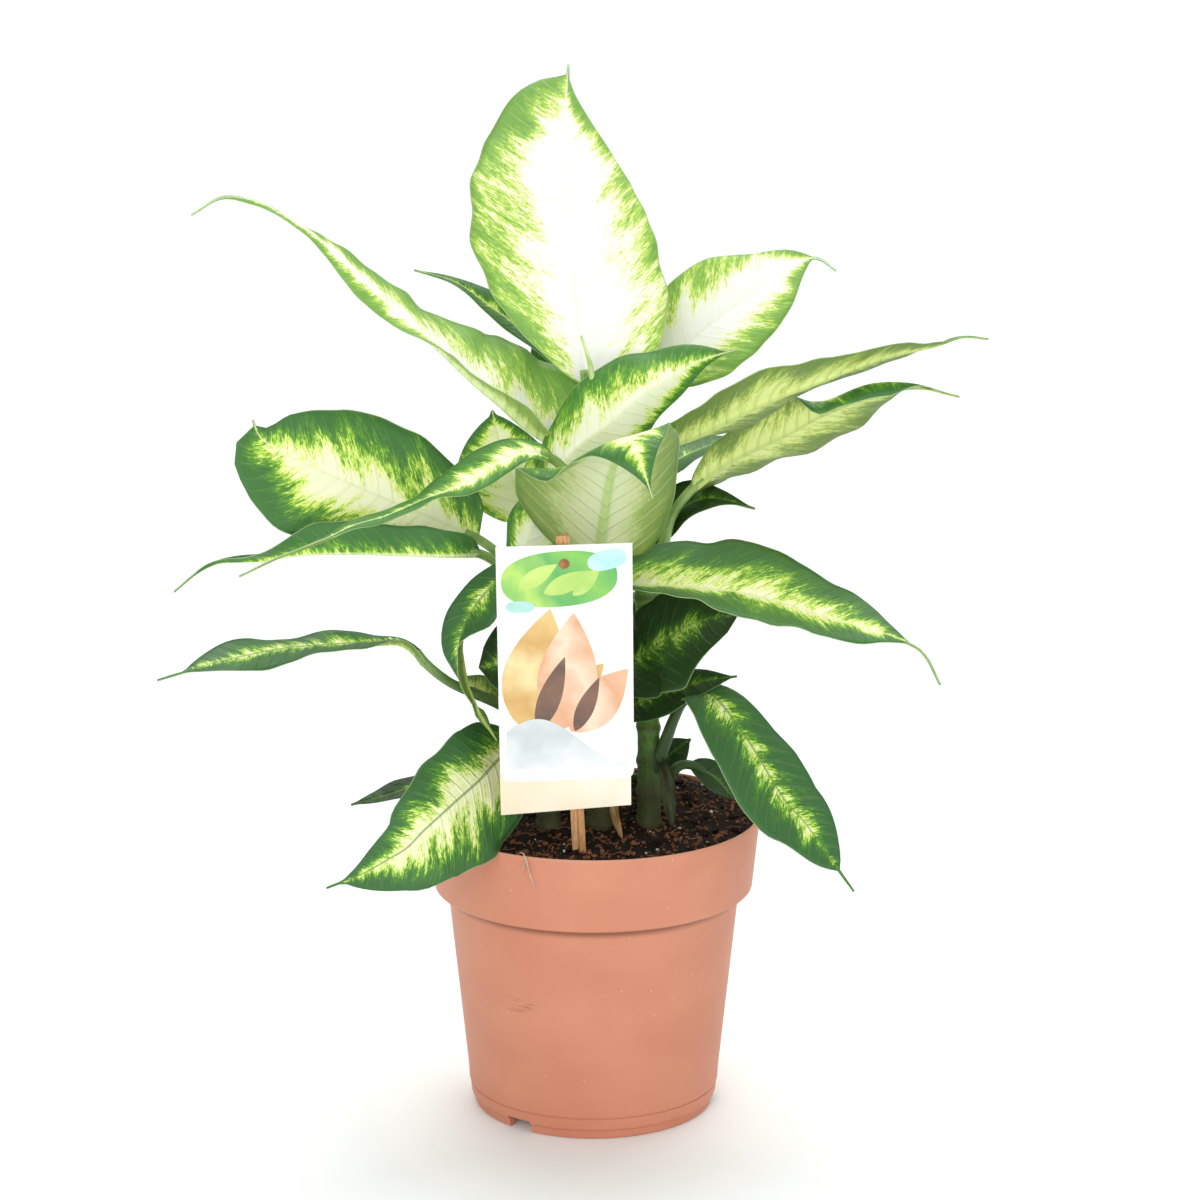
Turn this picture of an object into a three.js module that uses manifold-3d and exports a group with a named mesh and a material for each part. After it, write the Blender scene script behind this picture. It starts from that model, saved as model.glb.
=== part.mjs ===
// A potted dieffenbachia: a plain nursery pot, soil, four canes, leaves and a plant label.
// Millimetres, +Z up, the front towards -Y. The origin is the middle of the pot's foot,
// on the surface that the pot stands on.

import * as THREE from "three";
import { mergeVertices } from "three/addons/utils/BufferGeometryUtils.js";
import Module from "manifold-3d";

const wasm = await Module();
wasm.setup();

// ---------------------------------------------------------------- driving dimensions

const CLEARANCE = 0.3; // gap between pieces that touch

const POT_HEIGHT = 153;
const POT_RIM_RADIUS = 85;
const POT_WALL = 1.6;
const POT_COLLAR_FOOT_Z = 114.5; // lower edge of the wide collar
const POT_COLLAR_FOOT_RADIUS = 81;
const POT_BODY_TOP_RADIUS = 74;
const POT_BODY_LOW_RADIUS = 64.5;
const POT_BODY_LOW_Z = 19;
const POT_FOOT_RADIUS = 61.5;
const POT_FOOT_WIDTH = 4;
const POT_FLOOR_Z = 7;
const POT_SEGMENTS = 40;
const NOTCH_WIDTH = 14;
const NOTCH_HEIGHT = 6.5;
const NOTCH_AZIMUTHS = [-37, 83, 203]; // degrees from the front, turning towards +X
const DRAIN_RADIUS = 4.5;
const DRAIN_CIRCLE = 40;
const DRAIN_COUNT = 6;

const SOIL_FRONT_Z = 149; // soil level at the front rim
const SOIL_HEAP = 7; // how much higher the heap stands behind
const SOIL_RINGS = 5;

const CANE_SIDES = 8;
const NODE_SPACING = 17; // distance between a cane's ring scars
const NODE_SWELL = 0.7; // how far a ring scar stands out

const BLADE_THICKNESS = 1;
const RIB_DEPTH = [2.6, 0.5]; // ridge below the blade, at its base and at its tip
const BLADE_BASE_HALF = 2.6; // half-width where the blade meets its petiole
const BLADE_TIP_HALF = 0.5;
const DRIP_TIP = 0.04; // share of the blade's length in its thread-like tip
const PETIOLE_RADIUS = [4.2, 2.5]; // at the cane and at the blade
const PETIOLE_SIDES = 5;
const PETIOLE_STEPS = 6;
const PETIOLE_SPREAD = 0.6; // how far it leans out where it leaves the cane
const PETIOLE_REACH = 7; // how far the petiole runs on under the blade

const LABEL_WIDTH = 65.4;
const LABEL_HEIGHT = 120.5;
const LABEL_THICKNESS = 0.6;
const LABEL_CORNER = 5;
const LABEL_TOP = [-13.9, -75.5, 307.6]; // middle of the label's upper edge
const LABEL_LEAN = 5.5; // degrees, upper edge forward
const LABEL_YAW = 4; // degrees, left edge forward
const LABEL_ROLL = 1; // degrees in its own plane, upper edge to the left
const TAG_WIDTH = 64;
const TAG_DROP = [138, 135]; // below the label's upper edge, at the left and the right
const TAG_OFFSET = -0.8; // sideways from the card's middle
const TAG_HEIGHT = 62;
const TAG_THICKNESS = 0.8;
const STAKE_WIDTH = 6.6;
const STAKE_THICKNESS = 3;
const STAKE_ABOVE = 4; // how far it stands above the label
const STAKE_LENGTH = 216;
const STAKE_SLANT = 2.1; // degrees in the label's plane
const PEG_DROP = 9.5; // peg's middle below the label's upper edge
const PEG_RADIUS = 2.6; // rounded front of the peg
const PEG_PIN_RADIUS = 1.6; // where it enters the stake
const PEG_HOLE_RADIUS = 3.4; // in the card, a little up and to the right of the peg
const PEG_HOLE_OFFSET = 0.35;
const PEG_FRONT = 1.5; // how far the peg stands out of the card

// ---------------------------------------------------------------- materials

const finish = (color, roughness) =>
  new THREE.MeshStandardMaterial({ color, roughness, metalness: 0 });

const TERRACOTTA = finish(0xd08a6c, 0.55);
const PEAT = finish(0x35231a, 0.95);
const CANE_GREEN = finish(0x7fa34f, 0.5);
const LEAF_GREEN = finish(0x5f9c45, 0.4);
const YOUNG_GREEN = finish(0x9fc56a, 0.4);
const OLD_GREEN = finish(0x2f6b35, 0.45);
const CARD_WHITE = finish(0xf4f4ee, 0.5);
const CARD_TAN = finish(0xeccb9c, 0.8);
const STAKE_WOOD = finish(0xc79a62, 0.7);
const PEG_WOOD = finish(0xcf9463, 0.6);

// ---------------------------------------------------------------- solids

const vector = ([x, y, z]) => new THREE.Vector3(x, y, z);
const mix = THREE.MathUtils.lerp;
const radians = THREE.MathUtils.degToRad;

function solidOf(geometry) {
  const bare = geometry.clone();
  bare.deleteAttribute("normal");
  bare.deleteAttribute("uv");
  const merged = mergeVertices(bare, 1e-4);
  return new wasm.Manifold(
    new wasm.Mesh({
      numProp: 3,
      vertProperties: new Float32Array(merged.attributes.position.array),
      triVerts: new Uint32Array(merged.index.array),
    }),
  );
}

function geometryOf(solid) {
  const mesh = solid.getMesh();
  const geometry = new THREE.BufferGeometry();
  geometry.setAttribute("position", new THREE.BufferAttribute(mesh.vertProperties, 3));
  geometry.setIndex(new THREE.BufferAttribute(mesh.triVerts, 1));
  geometry.computeVertexNormals();
  return geometry;
}

function closedGeometry(positions, triangles) {
  const geometry = new THREE.BufferGeometry();
  geometry.setAttribute("position", new THREE.Float32BufferAttribute(positions.flat(), 3));
  geometry.setIndex(triangles.flat());
  return geometry;
}

function namedMesh(name, geometry, material) {
  const mesh = new THREE.Mesh(geometry, material);
  mesh.name = name;
  return mesh;
}

// A lathe turns about Y in three.js; this one stands on +Z.
function lathe(profile, segments) {
  const points = profile.map(([radius, z]) => new THREE.Vector2(radius, z));
  const geometry = new THREE.LatheGeometry(points, segments);
  geometry.rotateX(Math.PI / 2);
  return geometry;
}

// ---------------------------------------------------------------- curves

// A Catmull-Rom curve through a few points, walked at an even pace by length.
function pathThrough(points) {
  const curve = new THREE.CatmullRomCurve3(points.map(vector), false, "centripetal");
  curve.arcLengthDivisions = 200;
  return {
    at: (t) => curve.getPointAt(Math.min(Math.max(t, 0), 1)),
    along: (t) => curve.getTangentAt(Math.min(Math.max(t, 0), 1)),
    length: curve.getLength(),
  };
}

// Rows of [t, value, ...] read at t, eased from one row to the next.
function keyed(rows, t) {
  const last = rows[rows.length - 1];
  if (t <= rows[0][0]) return rows[0].slice(1);
  if (t >= last[0]) return last.slice(1);
  const next = rows.findIndex((row) => row[0] > t);
  const [from, to] = [rows[next - 1], rows[next]];
  const ease = THREE.MathUtils.smoothstep(t, from[0], to[0]);
  return from.slice(1).map((value, i) => mix(value, to[i + 1], ease));
}

// ---------------------------------------------------------------- pot

function potSolid() {
  const collarWall = POT_WALL + 0.4;
  const shoulder = POT_COLLAR_FOOT_Z - 4;
  const outer = [
    [0, POT_FLOOR_Z - POT_WALL - 0.4],
    [POT_FOOT_RADIUS - POT_FOOT_WIDTH - 0.5, POT_FLOOR_Z - POT_WALL - 0.4],
    [POT_FOOT_RADIUS - POT_FOOT_WIDTH, 0],
    [POT_FOOT_RADIUS, 0],
    [POT_FOOT_RADIUS + 0.8, 3],
    [POT_BODY_LOW_RADIUS - 0.6, 11],
    [POT_BODY_LOW_RADIUS, POT_BODY_LOW_Z],
    [POT_BODY_TOP_RADIUS, shoulder],
    [POT_BODY_TOP_RADIUS + 1.6, shoulder + 3.2],
    [POT_COLLAR_FOOT_RADIUS - 1.4, POT_COLLAR_FOOT_Z],
    [POT_COLLAR_FOOT_RADIUS, POT_COLLAR_FOOT_Z + 1.4],
    [POT_RIM_RADIUS - 0.3, POT_HEIGHT - 1.2],
    [POT_RIM_RADIUS - 0.9, POT_HEIGHT],
  ];
  const inner = [
    [POT_RIM_RADIUS - collarWall + 0.2, POT_HEIGHT],
    [POT_COLLAR_FOOT_RADIUS - collarWall, POT_COLLAR_FOOT_Z + 3],
    [POT_BODY_TOP_RADIUS + 0.4, shoulder + 5.6],
    [POT_BODY_TOP_RADIUS - POT_WALL, shoulder],
    [POT_BODY_LOW_RADIUS - POT_WALL, POT_BODY_LOW_Z],
    [POT_FOOT_RADIUS - 1, POT_FLOOR_Z],
    [0, POT_FLOOR_Z],
  ];
  let pot = solidOf(lathe([...outer, ...inner], POT_SEGMENTS));
  for (const azimuth of NOTCH_AZIMUTHS) {
    const notch = new THREE.BoxGeometry(NOTCH_WIDTH, 3 * POT_FOOT_WIDTH, 2 * NOTCH_HEIGHT);
    notch.translate(0, -POT_FOOT_RADIUS - 1.2, 0);
    notch.rotateZ(radians(azimuth));
    pot = pot.subtract(solidOf(notch));
  }
  for (let i = 0; i < DRAIN_COUNT; i += 1) {
    const drain = new THREE.CylinderGeometry(DRAIN_RADIUS, DRAIN_RADIUS, 20, 8);
    drain.rotateX(Math.PI / 2);
    drain.translate(0, -DRAIN_CIRCLE, 0);
    drain.rotateZ((i * 2 * Math.PI) / DRAIN_COUNT);
    pot = pot.subtract(solidOf(drain));
  }
  return pot;
}

// ---------------------------------------------------------------- soil

// The soil's surface: low at the front rim, heaped behind, with shallow lumps.
function soilHeight(x, y) {
  const across = Math.hypot(x, y) / POT_RIM_RADIUS;
  const back = THREE.MathUtils.smoothstep(y, -POT_RIM_RADIUS * 0.6, POT_RIM_RADIUS * 0.6);
  const fine = Math.sin(x * 0.21 + 1.3) * Math.cos(y * 0.17 - 0.4);
  const broad = 0.6 * Math.sin(x * 0.09 - y * 0.13);
  const heap = SOIL_HEAP * back * (1 - 0.6 * across ** 2);
  return SOIL_FRONT_Z + heap + (fine + broad) * (1 - across ** 4);
}

function soilSolid() {
  const wall = POT_WALL + CLEARANCE;
  const shoulder = POT_COLLAR_FOOT_Z - 4;
  const edgeRadius = mix(POT_COLLAR_FOOT_RADIUS, POT_RIM_RADIUS, 0.9) - wall - 0.6;
  const side = [
    [0, POT_FLOOR_Z + CLEARANCE],
    [POT_FOOT_RADIUS - 1.5, POT_FLOOR_Z + CLEARANCE],
    [POT_BODY_LOW_RADIUS - wall - 0.3, POT_BODY_LOW_Z],
    [POT_BODY_TOP_RADIUS - wall - 0.3, shoulder],
    [POT_BODY_TOP_RADIUS - 0.2, shoulder + 6],
    [POT_COLLAR_FOOT_RADIUS - wall - 1, POT_COLLAR_FOOT_Z + 3.4],
    [edgeRadius, SOIL_FRONT_Z],
  ];
  const top = [];
  for (let ring = SOIL_RINGS - 1; ring >= 0; ring -= 1) {
    top.push([(edgeRadius * ring) / SOIL_RINGS, SOIL_FRONT_Z]);
  }
  const geometry = lathe([...side, ...top], POT_SEGMENTS);
  const position = geometry.attributes.position;
  for (let i = 0; i < position.count; i += 1) {
    if (position.getZ(i) < SOIL_FRONT_Z - 0.01) continue;
    position.setZ(i, soilHeight(position.getX(i), position.getY(i)));
  }
  return solidOf(geometry);
}

// ---------------------------------------------------------------- tubes

// A closed tube along a path, with a radius that changes on the way.
function tubeSolid(path, radiusAt, sides, steps, flatten = 1) {
  const positions = [];
  const triangles = [];
  const start = path.along(0);
  const aside = new THREE.Vector3(Math.abs(start.x) > 0.9 ? 0 : 1, Math.abs(start.x) > 0.9 ? 1 : 0, 0);
  for (let i = 0; i <= steps; i += 1) {
    const centre = path.at(i / steps);
    const along = path.along(i / steps);
    const second = new THREE.Vector3().crossVectors(along, aside).normalize();
    const first = new THREE.Vector3().crossVectors(second, along).normalize();
    aside.copy(first);
    const radius = radiusAt(i / steps);
    for (let k = 0; k < sides; k += 1) {
      const angle = (2 * Math.PI * k) / sides;
      const point = centre
        .clone()
        .addScaledVector(first, radius * Math.cos(angle))
        .addScaledVector(second, radius * flatten * Math.sin(angle));
      positions.push(point.toArray());
    }
  }
  for (let i = 0; i < steps; i += 1) {
    for (let k = 0; k < sides; k += 1) {
      const a = i * sides + k;
      const b = i * sides + ((k + 1) % sides);
      triangles.push([a, b, b + sides], [a, b + sides, a + sides]);
    }
  }
  const cap = steps * sides;
  for (let k = 1; k < sides - 1; k += 1) {
    triangles.push([0, k + 1, k], [cap, cap + k, cap + k + 1]);
  }
  return solidOf(closedGeometry(positions, triangles));
}

// ---------------------------------------------------------------- canes

// Each cane's middle line from inside the soil upwards, and its radius below and above.
const CANES = {
  centre: {
    points: [[3, -20, 118], [2, -14, 180], [0, -5, 240], [-2, 3, 290], [-2, 6, 332]],
    radius: [7, 4.6],
  },
  left: { points: [[-22, -21, 118], [-23, -18, 170], [-25, -13, 220], [-27, -8, 266]], radius: [6.6, 4.6] },
  right: { points: [[28, -14, 118], [28, -12, 170], [27, -7, 230], [25, -2, 282]], radius: [6.8, 4.6] },
  back: { points: [[4, 26, 118], [3, 29, 170], [2, 30, 214]], radius: [6, 4.6] },
};

for (const cane of Object.values(CANES)) cane.path = pathThrough(cane.points);

// How far along a cane's middle line a height lies.
function caneShare(cane, z) {
  let low = 0;
  let high = 1;
  for (let i = 0; i < 30; i += 1) {
    const middle = (low + high) / 2;
    if (cane.path.at(middle).z < z) low = middle;
    else high = middle;
  }
  return low;
}

function caneSolid(cane, grow = 0) {
  const scars = Math.round(cane.path.length / NODE_SPACING);
  const steps = scars * 2;
  const radiusAt = (t) => {
    const onScar = Math.round(t * steps) % 2 === 0 ? NODE_SWELL : 0;
    return mix(cane.radius[0], cane.radius[1], t) + onScar + grow;
  };
  return tubeSolid(cane.path, radiusAt, CANE_SIDES, steps);
}

// ---------------------------------------------------------------- leaves

// One row for each leaf. rib: points along the midrib, from the blade's base to its tip.
// face: rows of [t, x, y, z], the way that the upper side faces. left and right, as seen
// from the upper side with the tip pointing away: [half-width, where it is widest, how fine
// the tip is]. bend: rows of [t, fold left, fold right, curl left, curl right] in degrees.
// wave: [height, waves along the margin, phase]. from: the cane and the petiole's height.
const LEAVES = [
  {
    name: "leaf_crown", from: ["centre", 318], grid: [10, 3],
    rib: [[-4, 10, 371], [-8, 26, 403], [-12, 58, 457], [-14, 88, 499], [-13, 106, 522]],
    face: [[0, 0.1, -1, 0.3], [1, -0.1, -1, 0.4]],
    left: [51, 0.5, 0.43, 0.72], right: [45.5, 0.25, 1.25, 0.12],
    bend: [[0, 25, 25, 0, 0], [0.3, 12, 12, -10, -8], [1, 8, 8, -14, -10]],
    wave: [1.5, 2.2, 0.1],
  },
  {
    name: "leaf_upper_right", from: ["centre", 292], grid: [10, 3],
    rib: [[29, 32, 372], [45, 38, 385], [61, 42, 398], [83, 50, 412], [104, 60, 425],
      [114, 65, 427], [124, 69, 420]],
    face: [[0, -0.3, -1, 0.5], [1, 0, -0.8, 0.7]],
    left: [30.5, 0.42, 0.78], right: [30.5, 0.32, 0.95, 0.35],
    bend: [[0, 20, 20, 0, 0], [0.4, 14, 14, -12, -12], [1, 8, 8, -20, -20]],
    wave: [1.2, 2.4, 0.3], drip: 0.14,
  },
  {
    name: "leaf_left_long", from: ["centre", 279], grid: [10, 3],
    rib: [[-14, 4, 339], [-32, -2, 351], [-45, -8, 364], [-59, -12, 377], [-72, -14, 390], [-82, -16, 400], [-94, -18, 410], [-107, -20, 423], [-120, -22, 436], [-138, -25, 452], [-150, -26, 460], [-162, -27, 466], [-178, -28, 468], [-193, -30, 460]],
    face: [[0, 0.2, -0.1, 1], [0.32, 0.2, -0.1, 1], [0.5, 0.2, -0.45, 1], [1, 0.3, -0.3, 1]],
    left: [12.5, 0.24, 1.2], right: [40, 0.18, 2.4, 0.1],
    bend: [[0, 30, 70, 0, 0], [0.15, 42, 45, 0, 0], [0.3, 24, 22, 0, -6], [0.44, -4, 0, -8, -8], [0.6, -8, -12, -8, -8], [1, 0, 0, -8, -10]],
    wave: [2, 3, 0.2],
  },
  {
    name: "leaf_behind_crown_left", from: ["centre", 305], grid: [5, 2],
    rib: [[-5, 34, 365], [-27, 40, 386], [-50, 48, 403], [-70, 54, 416], [-91, 58, 422]],
    face: [[0, 0, -0.4, 0.9], [1, 0, -0.4, 0.9]],
    left: [9, 0.4, 1.3], right: [13, 0.4, 1.3],
    bend: [[0, 20, 10, 0, 0], [1, 20, 10, -20, -20]],
    wave: [1, 2, 0],
  },
  {
    name: "leaf_centre_arch", from: ["left", 238], grid: [10, 3],
    rib: [[-35, -28, 275], [-33, -26, 297], [-23, -24, 325], [-8, -22, 345], [8, -20, 356],
      [23, -16, 369], [37, -10, 377], [50, -4, 384], [71, 2, 390]],
    face: [[0, -0.4, -1, 0.2], [0.4, -0.15, -1, 0.3], [1, -0.3, -0.9, 0.5]],
    left: [28, 0.62, 0.85, 0.8], right: [28, 0.5, 1.2],
    bend: [[0, 5, -40, 0, 0], [0.15, -20, -45, 0, 0], [0.3, -60, -50, 0, 0], [0.42, -42, -55, 0, -8], [0.56, -8, -60, -5, -10], [1, 0, -50, -20, -10]],
    wave: [1.5, 2.2, 0.4],
  },
  {
    name: "leaf_centre_front", from: ["centre", 236], grid: [10, 3],
    rib: [[3, -44, 292], [5, -48, 314], [9, -58, 341], [13, -70, 355], [17, -82, 361],
      [21, -94, 355], [28, -104, 336]],
    face: [[0, 0, 1, 0.3], [0.6, 0, 0.2, 1], [1, 0.1, -0.8, 0.6]],
    left: [37, 0.4, 1.4, 0.25], right: [46, 0.38, 1.4, 0.4],
    bend: [[0, 20, 20, 0, 0], [0.34, 14, 10, 8, -5], [0.55, 14, -14, 8, -22],
      [1, 10, -10, 10, -20]],
    wave: [1.5, 2, 0.6],
  },
  {
    name: "leaf_left_broad", from: ["left", 250], grid: [10, 3],
    rib: [[-57, -24, 300], [-75, -27, 309], [-100, -33, 321], [-118, -38, 330], [-136, -42, 339],
      [-152, -45, 348], [-161, -46, 355], [-164, -46, 363]],
    face: [[0, 0.1, -1, 0.5], [1, 0.1, -1, 0.4]],
    left: [35, 0.7, 0.4, 0.8], right: [36.5, 0.52, 0.62, 0.42],
    bend: [[0, 15, 15, 0, 0], [0.5, 8, 8, -10, -10], [1, 8, 8, -10, -10]],
    wave: [1.8, 2.5, 0],
  },
  {
    name: "leaf_left_strap", from: ["centre", 253], grid: [10, 3],
    rib: [[-20, -24, 340], [-27, -27, 343], [-38, -34, 344], [-48, -41, 340], [-59, -49, 334], [-70, -55, 330], [-79, -62, 328], [-89, -70, 325], [-99, -78, 322], [-114, -86, 319], [-124, -91, 315], [-136, -96, 311], [-148, -100, 307], [-166, -105, 299]],
    face: [[0, 0, -0.6, 1], [0.3, 0, -0.6, 1], [0.45, -0.2, -0.1, 1], [1, 0, -0.2, 1]],
    left: [10, 0.22, 1.5], right: [12, 0.24, 1.6],
    bend: [[0, 14, 14, 0, 0], [0.5, 3, 3, -4, -4], [1, 0, 0, -10, -10]],
    wave: [1.2, 2.5, 0.5], drip: 0.1,
  },
  {
    name: "leaf_left_under", from: ["left", 226], grid: [10, 3],
    rib: [[-57, -34, 295], [-69, -46, 297], [-91, -53, 299], [-120, -56, 300], [-146, -56, 299],
            [-160, -54, 296], [-172, -52, 295], [-182, -51, 294], [-192, -50, 289], [-204, -50, 279]],
    face: [[0, 0, 0, 1], [1, 0, 0, 1]],
    left: [16, 0.4, 1.5, 0.5], right: [7, 0.3, 1.5, 0.4],
    bend: [[0, 75, 65, 0, 0], [0.5, 75, 65, 10, 10], [0.7, 30, 30, 0, 0], [1, 5, 5, 0, 0]],
    wave: [1.2, 2.5, 0.2], drip: 0.08,
  },
  {
    name: "leaf_behind_left", from: ["left", 262], grid: [5, 2],
    rib: [[-34, 6, 302], [-41, 12, 325], [-48, 20, 344], [-51, 28, 355]],
    face: [[0, -0.2, -1, 0.4], [1, -0.2, -1, 0.6]],
    left: [27, 0.5, 0.9], right: [20, 0.45, 0.9],
    bend: [[0, 15, 15, 0, 0], [1, 10, 10, -10, -10]],
    wave: [1, 1.8, 0.3],
  },
  {
    name: "leaf_right_upper", from: ["right", 276], grid: [10, 3],
    rib: [[23, -4, 339], [51, -8, 349], [84, -12, 366], [115, -6, 377], [145, 4, 386],
      [171, 16, 390], [185, 24, 393], [198, 30, 391]],
    face: [[0, 0, 0.36, 1], [0.7, 0, 0.3, 1], [1, 0, 0.1, 1]],
    left: [20, 0.45, 0.9], right: [24, 0.42, 1.2],
    bend: [[0, 0, 25, 0, 0], [0.5, -8, 22, -4, 4], [1, -8, 5, 0, 0]],
    wave: [1.5, 2.6, 0.1], drip: 0.1,
  },
  {
    name: "leaf_right_second", from: ["right", 250], grid: [10, 3],
    rib: [[50, 22, 316], [65, 27, 327], [77, 30, 333], [98, 30, 343], [113, 27, 352], [128, 20, 360], [143, 12, 368], [159, 5, 371], [181, -2, 367]],
    face: [[0, 0, 0.7, 0.7], [0.6, 0, 0.6, 0.8], [1, 0, 0.3, 1]],
    left: [29, 0.42, 0.95], right: [27, 0.58, 0.8, 0.7],
    bend: [[0, 15, 15, 0, 0], [0.45, 5, 8, 0, 0], [0.58, 5, 16, 0, -105], [0.78, 5, 32, 0, -130], [0.9, 0, 10, 0, -30], [1, 0, 5, 0, 0]],
    wave: [1.5, 2.6, 0.6], drip: 0.1,
  },
  {
    name: "leaf_behind_right", from: ["right", 232], grid: [5, 2],
    rib: [[29, 20, 287], [41, 24, 302], [54, 28, 309], [63, 30, 309], [82, 30, 304]],
    face: [[0, 0, -0.5, 1], [1, 0, -0.3, 1]],
    left: [14, 0.45, 1.2], right: [14, 0.45, 1.2],
    bend: [[0, 20, 20, 0, 0], [1, 10, 10, 0, 0]],
    wave: [1, 2, 0.4],
  },
  {
    name: "leaf_right_mid", from: ["centre", 216], grid: [10, 3],
    rib: [[3, -40, 278], [21, -45, 281], [50, -55, 282], [73, -63, 281], [94, -70, 277],
      [114, -76, 272], [131, -81, 268], [145, -84, 264], [157, -86, 258], [166, -88, 242]],
    face: [[0, 0, -0.25, 1], [1, 0.1, -0.3, 1]],
    left: [37, 0.36, 0.95, 0.5], right: [31, 0.62, 1.1, 0.9],
    bend: [[0, 20, 20, 0, 0], [0.4, 13, 13, 0, -6], [1, 10, 8, 0, -10]],
    wave: [1.6, 3, 0.3], drip: 0.14,
  },
  {
    name: "leaf_right_below", from: ["centre", 192], grid: [9, 2],
    rib: [[5, -14, 238], [21, -20, 238], [34, -26, 248], [51, -34, 260], [74, -44, 267]],
    face: [[0, 0, -0.7, 0.8], [1, 0.1, -0.6, 0.8]],
    left: [24, 0.45, 1.1], right: [38, 0.6, 0.6],
    bend: [[0, 15, 15, 0, 0], [1, 8, 8, -10, -10]],
    wave: [1.3, 2.2, 0.2],
  },
  {
    name: "leaf_right_low", from: ["centre", 168], grid: [5, 2],
    rib: [[8, -14, 207], [28, -20, 217], [53, -28, 228], [71, -32, 232]],
    face: [[0, 0, -0.7, 0.8], [1, 0.1, -0.5, 0.8]],
    left: [12, 0.5, 1.1], right: [16, 0.5, 1.1],
    bend: [[0, 15, 15, 0, 0], [1, 8, 8, -10, -10]],
    wave: [1, 2, 0.7],
  },
  {
    name: "leaf_right_droop", from: ["right", 174], grid: [10, 3],
    rib: [[51, -25, 221], [57, -32, 223], [63, -40, 220], [69, -46, 213], [79, -54, 200],
            [86, -60, 189], [95, -66, 176], [103, -70, 168], [115, -75, 152], [127, -80, 136]],
    face: [[0, 0.3, -0.6, 0.7], [1, 0.5, -0.8, 0.4]],
    left: [19.5, 0.62, 0.75, 0.7], right: [25, 0.5, 0.7, 0.3],
    bend: [[0, 15, 15, 0, 0], [0.4, 8, 8, -8, -8], [1, 8, 8, -10, -10]],
    wave: [1.2, 2.5, 0.2], drip: 0.1,
  },
  {
    name: "leaf_left_droop", from: ["left", 171], grid: [10, 3],
    rib: [[-37, -26, 197], [-47, -42, 192], [-56, -58, 186], [-65, -75, 182], [-73, -89, 178],
      [-82, -99, 172], [-89, -105, 166], [-97, -109, 162], [-109, -113, 156], [-127, -115, 149]],
    face: [[0, 0.2, -0.7, 0.5], [0.25, 0.4, -0.9, 0.2], [1, 0.3, -0.9, 0.2]],
    left: [34, 0.4, 0.85, 0.6], right: [27.5, 0.34, 1.05, 0.5],
    bend: [[0, 0, 10, 0, 0], [0.4, 4, 8, -4, -8], [1, 8, 8, -10, -10]],
    wave: [1.5, 2.5, 0.4], drip: 0.06,
  },
  {
    name: "leaf_left_droop_behind", from: ["left", 160], grid: [5, 2],
    rib: [[-71, -34, 183], [-90, -42, 178], [-105, -50, 175], [-119, -56, 173]],
    face: [[0, 0, -0.4, 1], [1, 0, -0.4, 1]],
    left: [7, 0.5, 1.1], right: [7, 0.5, 1.1],
    bend: [[0, 10, 10, 0, 0], [1, 8, 8, 0, 0]],
    wave: [0.6, 2, 0],
  },
  {
    name: "leaf_far_left", from: ["left", 193], grid: [10, 3],
    rib: [[-82, -52, 244], [-87, -54, 251], [-94, -57, 256], [-107, -63, 257], [-127, -73, 258],
      [-145, -83, 259], [-165, -95, 258], [-183, -106, 256], [-204, -118, 252]],
    face: [[0, 0, -0.3, 1], [0.3, 0, -0.3, 1], [1, 0, -0.35, 1]],
    left: [14, 0.78, 0.85, 1.3], right: [13, 0.76, 0.8, 1.5],
    bend: [[0, 30, 10, 0, 0], [0.3, 15, 15, 0, 0], [0.5, 5, 5, -10, -10], [1, 5, 5, 0, 0]],
    wave: [2, 2.8, 0.15], drip: 0.1,
  },
  {
    name: "leaf_hang_left", from: ["left", 215], grid: [9, 2],
    rib: [[-39, -42, 290], [-47, -46, 283], [-55, -49, 275], [-62, -52, 264], [-65, -54, 254], [-64, -55, 244], [-62, -56, 234], [-57, -57, 222], [-47, -58, 206]],
    face: [[0, -0.5, -0.8, 0.4], [0.5, -0.6, -0.8, 0.1], [0.75, -0.8, -0.2, 0], [0.9, -0.2, 0.8, 0.2], [1, -0.2, 0.8, 0.2]],
    left: [14, 0.25, 1.5, 0.4], right: [11.5, 0.3, 1.1, 0.4],
    bend: [[0, 5, 5, 0, 0], [0.3, 5, 5, 0, 0], [0.5, 55, 5, 0, 0], [1, 5, 5, 0, 0]],
    wave: [1.2, 2, 0.3],
  },
  {
    name: "leaf_behind_label_left", from: ["left", 204], grid: [5, 2],
    rib: [[-24, -34, 245], [-42, -42, 241], [-56, -46, 240]],
    face: [[0, -0.2, -0.8, 0.5], [1, -0.3, -0.8, 0.5]],
    left: [20, 0.5, 0.5], right: [20, 0.5, 0.5],
    bend: [[0, 10, 10, 0, 0], [1, 8, 8, 0, 0]],
    wave: [0.8, 2, 0],
  },
  {
    name: "leaf_low_left_strip", from: ["left", 182], grid: [5, 2],
    rib: [[-47, -20, 216], [-56, -24, 223], [-66, -28, 231]],
    face: [[0, -0.3, 0.6, 0.8], [1, -0.3, 0.6, 0.8]],
    left: [9, 0.5, 0.9], right: [9, 0.5, 0.9],
    bend: [[0, 10, 10, 0, 0], [1, 8, 8, 0, 0]],
    wave: [0.5, 2, 0],
  },
  {
    name: "leaf_behind_low_right", from: ["back", 160], grid: [5, 2],
    rib: [[29, 22, 166], [39, 24, 176], [50, 26, 184]],
    face: [[0, 0, -0.9, 0.4], [1, 0, -0.9, 0.4]],
    left: [8, 0.5, 0.9], right: [10, 0.5, 0.9],
    bend: [[0, 10, 10, 0, 0], [1, 8, 8, 0, 0]],
    wave: [0.5, 2, 0],
  },
  {
    name: "leaf_low_right", from: ["right", 158], grid: [5, 2],
    rib: [[50, -2, 178], [62, 2, 170], [72, 6, 157]],
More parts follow.
